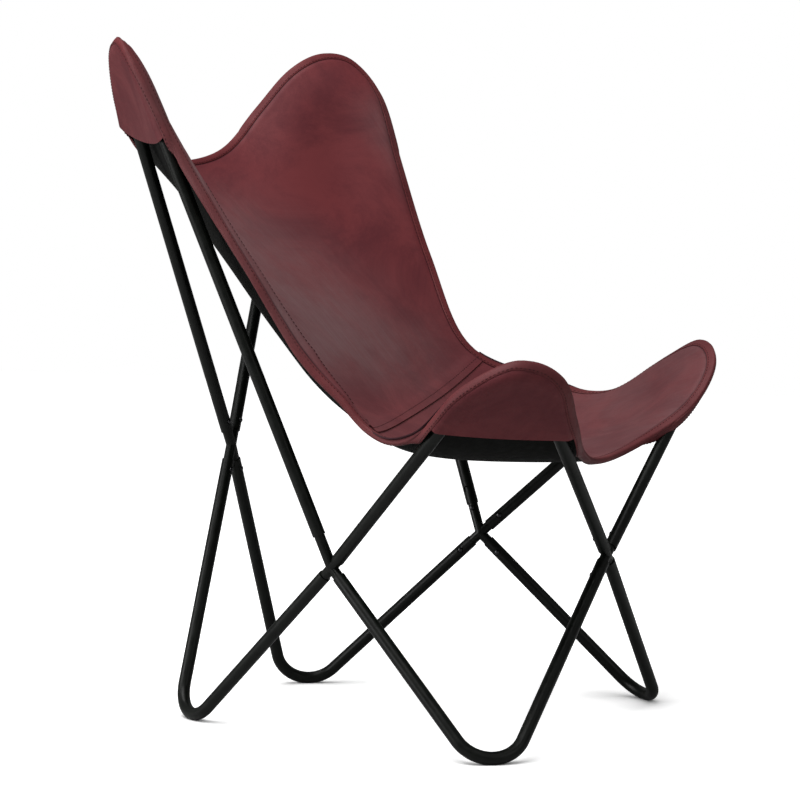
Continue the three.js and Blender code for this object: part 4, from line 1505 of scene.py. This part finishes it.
    def outer_place(self, mark: Array, reach: Array) -> Array:
        """Places on the outer side, as far from the edge as a strip reaches round it.

        Args:
            mark: marks along the edge.
            reach: how far the strip reaches, in millimetres.

        Returns:
            Places on the flat.
        """
        count = len(self.surface.loop)
        cuts = (self.sizes.front_pocket, self.sizes.back_pocket)
        steps = np.linspace(0, self.sizes.binding_width * max(cut.reach for cut in cuts), self.REACH_STEPS)
        columns = np.linspace(0, count, self.REACH_COLUMNS + 1)
        marks = np.repeat(columns, len(steps))
        place = self.strip_place(marks, np.tile(steps, len(columns)))
        points = self.outer(marks, place, np.full(len(marks), self.pocket_bottom))
        jumps = np.linalg.norm(np.diff(points.reshape(len(columns), len(steps), 3), axis=1), axis=2) / MM
        runs = np.concatenate([np.zeros((len(columns), 1)), np.cumsum(jumps, axis=1)], axis=1)
        column = np.mod(mark, count) / count * self.REACH_COLUMNS
        first = np.minimum(column.astype(int), self.REACH_COLUMNS - 1)
        reach = reach * (1 + sum((cut.reach - 1) * self.surface.cut_share(mark, cut) for cut in cuts))
        inside = np.array([np.interp(far, runs[left] + (runs[left + 1] - runs[left]) * share, steps)
                           for far, left, share in zip(reach, first, column - first)])
        return self.strip_place(mark, inside)

    def binding_section(self) -> Array:
        """The folded strip's section: distances inside the edge and heights over the leather's top."""
        width, low = self.sizes.binding_width, self.pocket_bottom
        return np.array([
            (width, 0.15), (width - 0.5, 0.9), (0.70 * width, 1.3), (0.40 * width, 1.4), (1.2, 1.1),
            (-0.5, 0.4), (-1.1, -0.8), (-1.2, low / 2), (-1.1, low + 0.8), (-0.5, low - 0.4),
            (1.2, low - 1.1), (0.25 * width, low - 1.3), (0.40 * width, low - 1.4), (0.55 * width, low - 1.4),
            (0.70 * width, low - 1.3), (width - 1.4, low - 1.1), (width - 0.5, low - 0.9),
            (width, low - 0.15), (0.5 * width, low - 0.1), (1.0, low - 0.05),
            (1.0, low / 2), (1.0, 0.05), (0.5 * width, 0.1)])

    def build_binding(self, leather: bpy.types.Material) -> None:
        """Builds the strip folded over the whole edge."""
        section = self.binding_section()
        shape, along, around = self.grid(self.BINDING_CELLS, len(section))
        mark = along * len(self.surface.loop)
        ring = np.rint(around * len(section)).astype(int) % len(section)
        inside, height = section[ring, 0], section[ring, 1]
        place = self.strip_place(mark, np.maximum(inside, 0))
        lower = height < self.OUTER_SHARE * self.pocket_bottom
        place[lower] = self.outer_place(mark[lower], np.maximum(inside[lower], 0))
        points = self.outer(mark, place, height)
        edge = self.surface.shape(self.surface.inset(mark, 0 * mark), height)
        outward = edge - self.surface.shape(self.surface.inset(mark, 0 * mark + 1), height)
        outward /= np.linalg.norm(outward, axis=1, keepdims=True)
        points += outward * np.maximum(-inside, 0)[:, None] * MM
        self.lay(shape, points, place, inside)
        bmesh.ops.remove_doubles(shape, verts=shape.verts, dist=0.01 * MM)
        bmesh.ops.recalc_face_normals(shape, faces=shape.faces)
        binding = new_object("edge_strip", shape)
        binding.data.shade_smooth()
        install(binding, BODY, leather, ["edge_binding"])

    def build_stitches(self, thread: bpy.types.Material) -> None:
        """Sews the binding on both faces, the double row at the lip and the seat seam."""
        sizes, stitches, surface = self.sizes, self.stitches, self.surface
        width, count = sizes.binding_width, len(surface.loop)
        marks = np.linspace(0, count, stitches.edge_points)
        row = self.strip_place(marks, np.full(len(marks), width - stitches.inner_inset))
        self.sew("binding_stitches", row, stitches.proud, thread)
        row = self.outer_place(marks, np.full(len(marks), width - stitches.outer_inset))
        self.sew("binding_back_stitches", row, self.pocket_bottom - stitches.proud, thread, marks)
        first, last = stitches.lip_marks
        marks = np.linspace(count - first, count - last, stitches.lip_points)
        for number, inside in enumerate(stitches.lip_insets):
            row = surface.inset(marks, np.full(len(marks), inside))
            self.sew(f"lip_stitches_{number}", row, stitches.lip_proud, thread)
        ends = surface.inset(np.array([-sizes.seam_left, sizes.seam_right]),
                             np.full(2, width + stitches.seam_past))
        t = np.linspace(0, 1, stitches.seam_points)[:, None]
        row = ends[0] + (ends[1] - ends[0]) * t + np.array([sizes.lap - stitches.seam_inset, 0.0])
        self.sew("seam_stitches", row, sizes.leather + stitches.seam_proud, thread)

    def sew(self, name: str, row: Array, height: float, thread: bpy.types.Material,
            pockets: Array | None = None) -> None:
        """Lays a row of stitches along places on the flat.

        Args:
            name: the row's name.
            row: places close together along the row.
            height: the thread's height over the leather's top.
            thread: its finish.
            pockets: the row's marks, where it is sewn on the pockets' side.
        """
        stitches = self.stitches
        pitch = stitches.pitch * MM
        size = Matrix.Diagonal((stitches.length * MM / 2, stitches.half_width * MM,
                                stitches.half_height * MM, 1.0))
        heights = np.full(len(row), height)
        points = self.surface.shape(row, heights)
        raised = self.surface.shape(row, heights + 1.0)
        if pockets is not None:
            points, raised = (self.outer(pockets, row, heights + more) for more in (0.0, 1.0))
        run = np.concatenate([[0.0], np.cumsum(np.linalg.norm(np.diff(points, axis=0), axis=1))])
        stops = np.arange(pitch / 2, run[-1], pitch)

        def at(values: Array, where: Array) -> Array:
            """Points at distances along the row."""
            return np.stack([np.interp(where, run, values[:, k]) for k in range(3)], -1)

        single = bmesh.new()
        bmesh.ops.create_uvsphere(single, u_segments=6, v_segments=5, radius=1.0)
        bead = bpy.data.meshes.new("stitch")
        shape = bmesh.new()
        after = stops + stitches.look_ahead * MM
        for middle, ahead, over in zip(at(points, stops), at(points, after), at(raised, stops)):
            along = Vector(ahead - middle).normalized()
            side = Vector(over - middle).cross(along).normalized()
            turn = Matrix((along, side, along.cross(side))).transposed().to_4x4()
            copy = single.copy()
            copy.transform(Matrix.Translation(middle) @ turn @ size)
            copy.to_mesh(bead)
            copy.free()
            shape.from_mesh(bead)
        single.free()
        bpy.data.meshes.remove(bead)
        piece = new_object(name, shape)
        piece.data.shade_smooth()
        install(piece, BODY, thread)


# Studio


@dataclass(frozen=True)
class Viewpoint:
    """The camera: where it looks from and to, its roll in degrees and its lens in millimetres."""

    azimuth: float = -64.158
    elevation: float = 3.444
    roll: float = 0.328
    distance: float = 3.39533
    target: Point = (0.0, 0.0, 0.4034)
    lens: float = 119.82
    sensor: float = 36.0

    def build(self) -> None:
        """Makes the scene's camera."""
        azimuth, elevation = math.radians(self.azimuth), math.radians(self.elevation)
        back = Vector((math.sin(azimuth) * math.cos(elevation), -math.cos(azimuth) * math.cos(elevation),
                       math.sin(elevation)))
        data = bpy.data.cameras.new("viewpoint")
        data.lens, data.sensor_width, data.sensor_fit = self.lens, self.sensor, "HORIZONTAL"
        camera = link("viewpoint", data)
        roll = Matrix.Rotation(math.radians(self.roll), 4, "Z")
        place = Matrix.Translation(Vector(self.target) + back * self.distance)
        camera.matrix_world = place @ turn_to(back) @ roll
        bpy.context.scene.camera = camera


@dataclass(frozen=True)
class Lamp:
    """A soft square lamp: its place, what it looks at, its size in metres and its power in watts."""

    name: str
    place: Point
    target: Point
    size: float
    power: float

    def build(self) -> None:
        """Hangs the lamp."""
        data = bpy.data.lights.new(self.name, "AREA")
        data.size, data.energy = self.size, self.power
        back = Vector(self.place) - Vector(self.target)
        link(self.name, data).matrix_world = Matrix.Translation(Vector(self.place)) @ turn_to(back)


@dataclass(frozen=True)
class Studio:
    """White room: an even sky, soft lamps and a floor that glows white for the camera, keeps the lamps'
    shadows and gets a painted contact shadow from ambient occlusion.
    """

    sky: float = 0.2
    floor_size: float = 14.0
    floor_seen: Colour = (0.86, 0.86, 0.86, 1.0)
    floor_bounce: Colour = (0.5, 0.5, 0.5, 1.0)
    floor_white: float = 0.75
    floor_roughness: float = 0.9
    floor_specular: float = 0.1
    contact_shade_reach: float = 0.05
    contact_shade_power: float = 2.0
    clear_from: float = 0.35
    clear_to: float = 0.95
    lamps: tuple[Lamp, ...] = field(default=(
        Lamp("top_lamp", (-1.0, 0.4, 3.0), (0.0, 0.0, 0.4), 2.4, 104.0),
        Lamp("left_lamp", (-2.4, 2.4, 1.1), (0.0, 0.0, 0.5), 1.8, 68.0),
        Lamp("front_lamp", (-1.2, -3.2, 2.0), (0.0, 0.0, 0.5), 2.0, 14.0),
    ))

    def build(self) -> None:
        """Builds the sky, the floor and the lamps."""
        world = bpy.data.worlds.new("sky")
        bpy.context.scene.world = world
        world.use_nodes = True
        sheet = Shader(world.node_tree)
        ray = sheet.add("LightPath").outputs
        seen = sheet.math("MAXIMUM", ray["Is Camera Ray"], ray["Is Transmission Ray"])
        strength = sheet.band(seen, 0.0, 1.0, self.sky, 1.0)
        back = world.node_tree.nodes["Background"]
        back.inputs["Color"].default_value = (1.0, 1.0, 1.0, 1.0)
        sheet.feed(back, "Strength", strength)
        for lamp in self.lamps:
            lamp.build()
        self.build_floor()

    def build_floor(self) -> None:
        """Builds the floor."""
        shape = bmesh.new()
        bmesh.ops.create_grid(shape, x_segments=1, y_segments=1, size=self.floor_size / 2)
        floor = new_object("floor", shape)
        material, sheet, shader = start_finish("floor_white")
        shader.inputs["Roughness"].default_value = self.floor_roughness
        shader.inputs["Specular IOR Level"].default_value = self.floor_specular
        shader.inputs["Emission Color"].default_value = (1.0, 1.0, 1.0, 1.0)
        seen = sheet.add("LightPath").outputs["Is Camera Ray"]
        sheet.feed(shader, "Base Color", sheet.blend(seen, self.floor_bounce, self.floor_seen))
        place = sheet.add("TexCoord").outputs["Object"]
        away = sheet.add("VectorMath", operation="LENGTH")
        sheet.feed(away, 0, place)
        white = sheet.band(away.outputs["Value"], self.clear_from, self.clear_to, self.floor_white, 1.0)
        # Painted contact shadow: ambient occlusion darkens the floor's white glow where the frame stands
        # close to it.
        contact_shade = sheet.add("AmbientOcclusion", samples=8, Distance=self.contact_shade_reach).outputs["AO"]
        white = sheet.math("MULTIPLY", white, sheet.math("POWER", contact_shade, self.contact_shade_power))
        sheet.feed(shader, "Emission Strength", sheet.math("MULTIPLY", seen, white))
        floor.data.materials.append(material)


def main() -> None:
    """Builds the chair, then the studio round it."""
    logging.basicConfig(level=logging.INFO, format="%(name)s %(message)s")
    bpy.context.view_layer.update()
    bpy.context.scene.view_settings.view_transform = "Standard"
    Viewpoint().build()
    # The shared leather group gives the mottled tone, the grain and a painted grey sheen. The panels' leather
    # also carries a painted shade line beside the binding. The pockets and binding take less painted sheen.
    mottle_and_sheen = LeatherMottleAndSheen().make()
    leather = Leather("oxblood_leather", shade_line_low=9.0, shade_line_high=12.5).make(mottle_and_sheen)
    pocket_leather = Leather("pocket_leather", sheen_share=0.12).make(mottle_and_sheen)
    strip_leather = Leather("edge_leather", ground=(0.086, 0.0125, 0.0155, 1.0),
                            cloud=(0.130, 0.0250, 0.0270, 1.0), sheen_share=0.3).make(mottle_and_sheen)
    thread = Coat("waxed_thread", colour=(0.038, 0.009, 0.011, 1.0), worn=(0.06, 0.016, 0.018, 1.0),
                  roughness=0.6, specular=0.12).make()
    coat = Coat("black_powder_coat").make()
    inner_coat = Coat("black_gloss_coat", roughness=0.28).make()
    steel = Coat("dark_nickel", colour=(0.035, 0.035, 0.037, 1.0), worn=(0.06, 0.06, 0.063, 1.0),
                 roughness=0.28, metallic=1.0, specular=0.5, peel=0.02).make()
    canvas = Canvas("black_canvas").make()
    tube_frame = TubeFrame(FrameSizes())
    tube_frame.build(coat, inner_coat, steel)
    sizes = SlingSizes()
    surface = SlingSurface(sizes, tube_frame.top_tubes)
    sling = Sling(sizes, StitchSizes(), surface)
    sling.build_panels(leather)
    sling.build_lining(canvas)
    for end, cut in (("front", sizes.front_pocket), ("back", sizes.back_pocket)):
        for side in Side:
            sling.build_pocket(end, side, cut, pocket_leather)
    sling.build_binding(strip_leather)
    sling.build_stitches(thread)
    Studio().build()


if __name__ == "__main__":
    main()
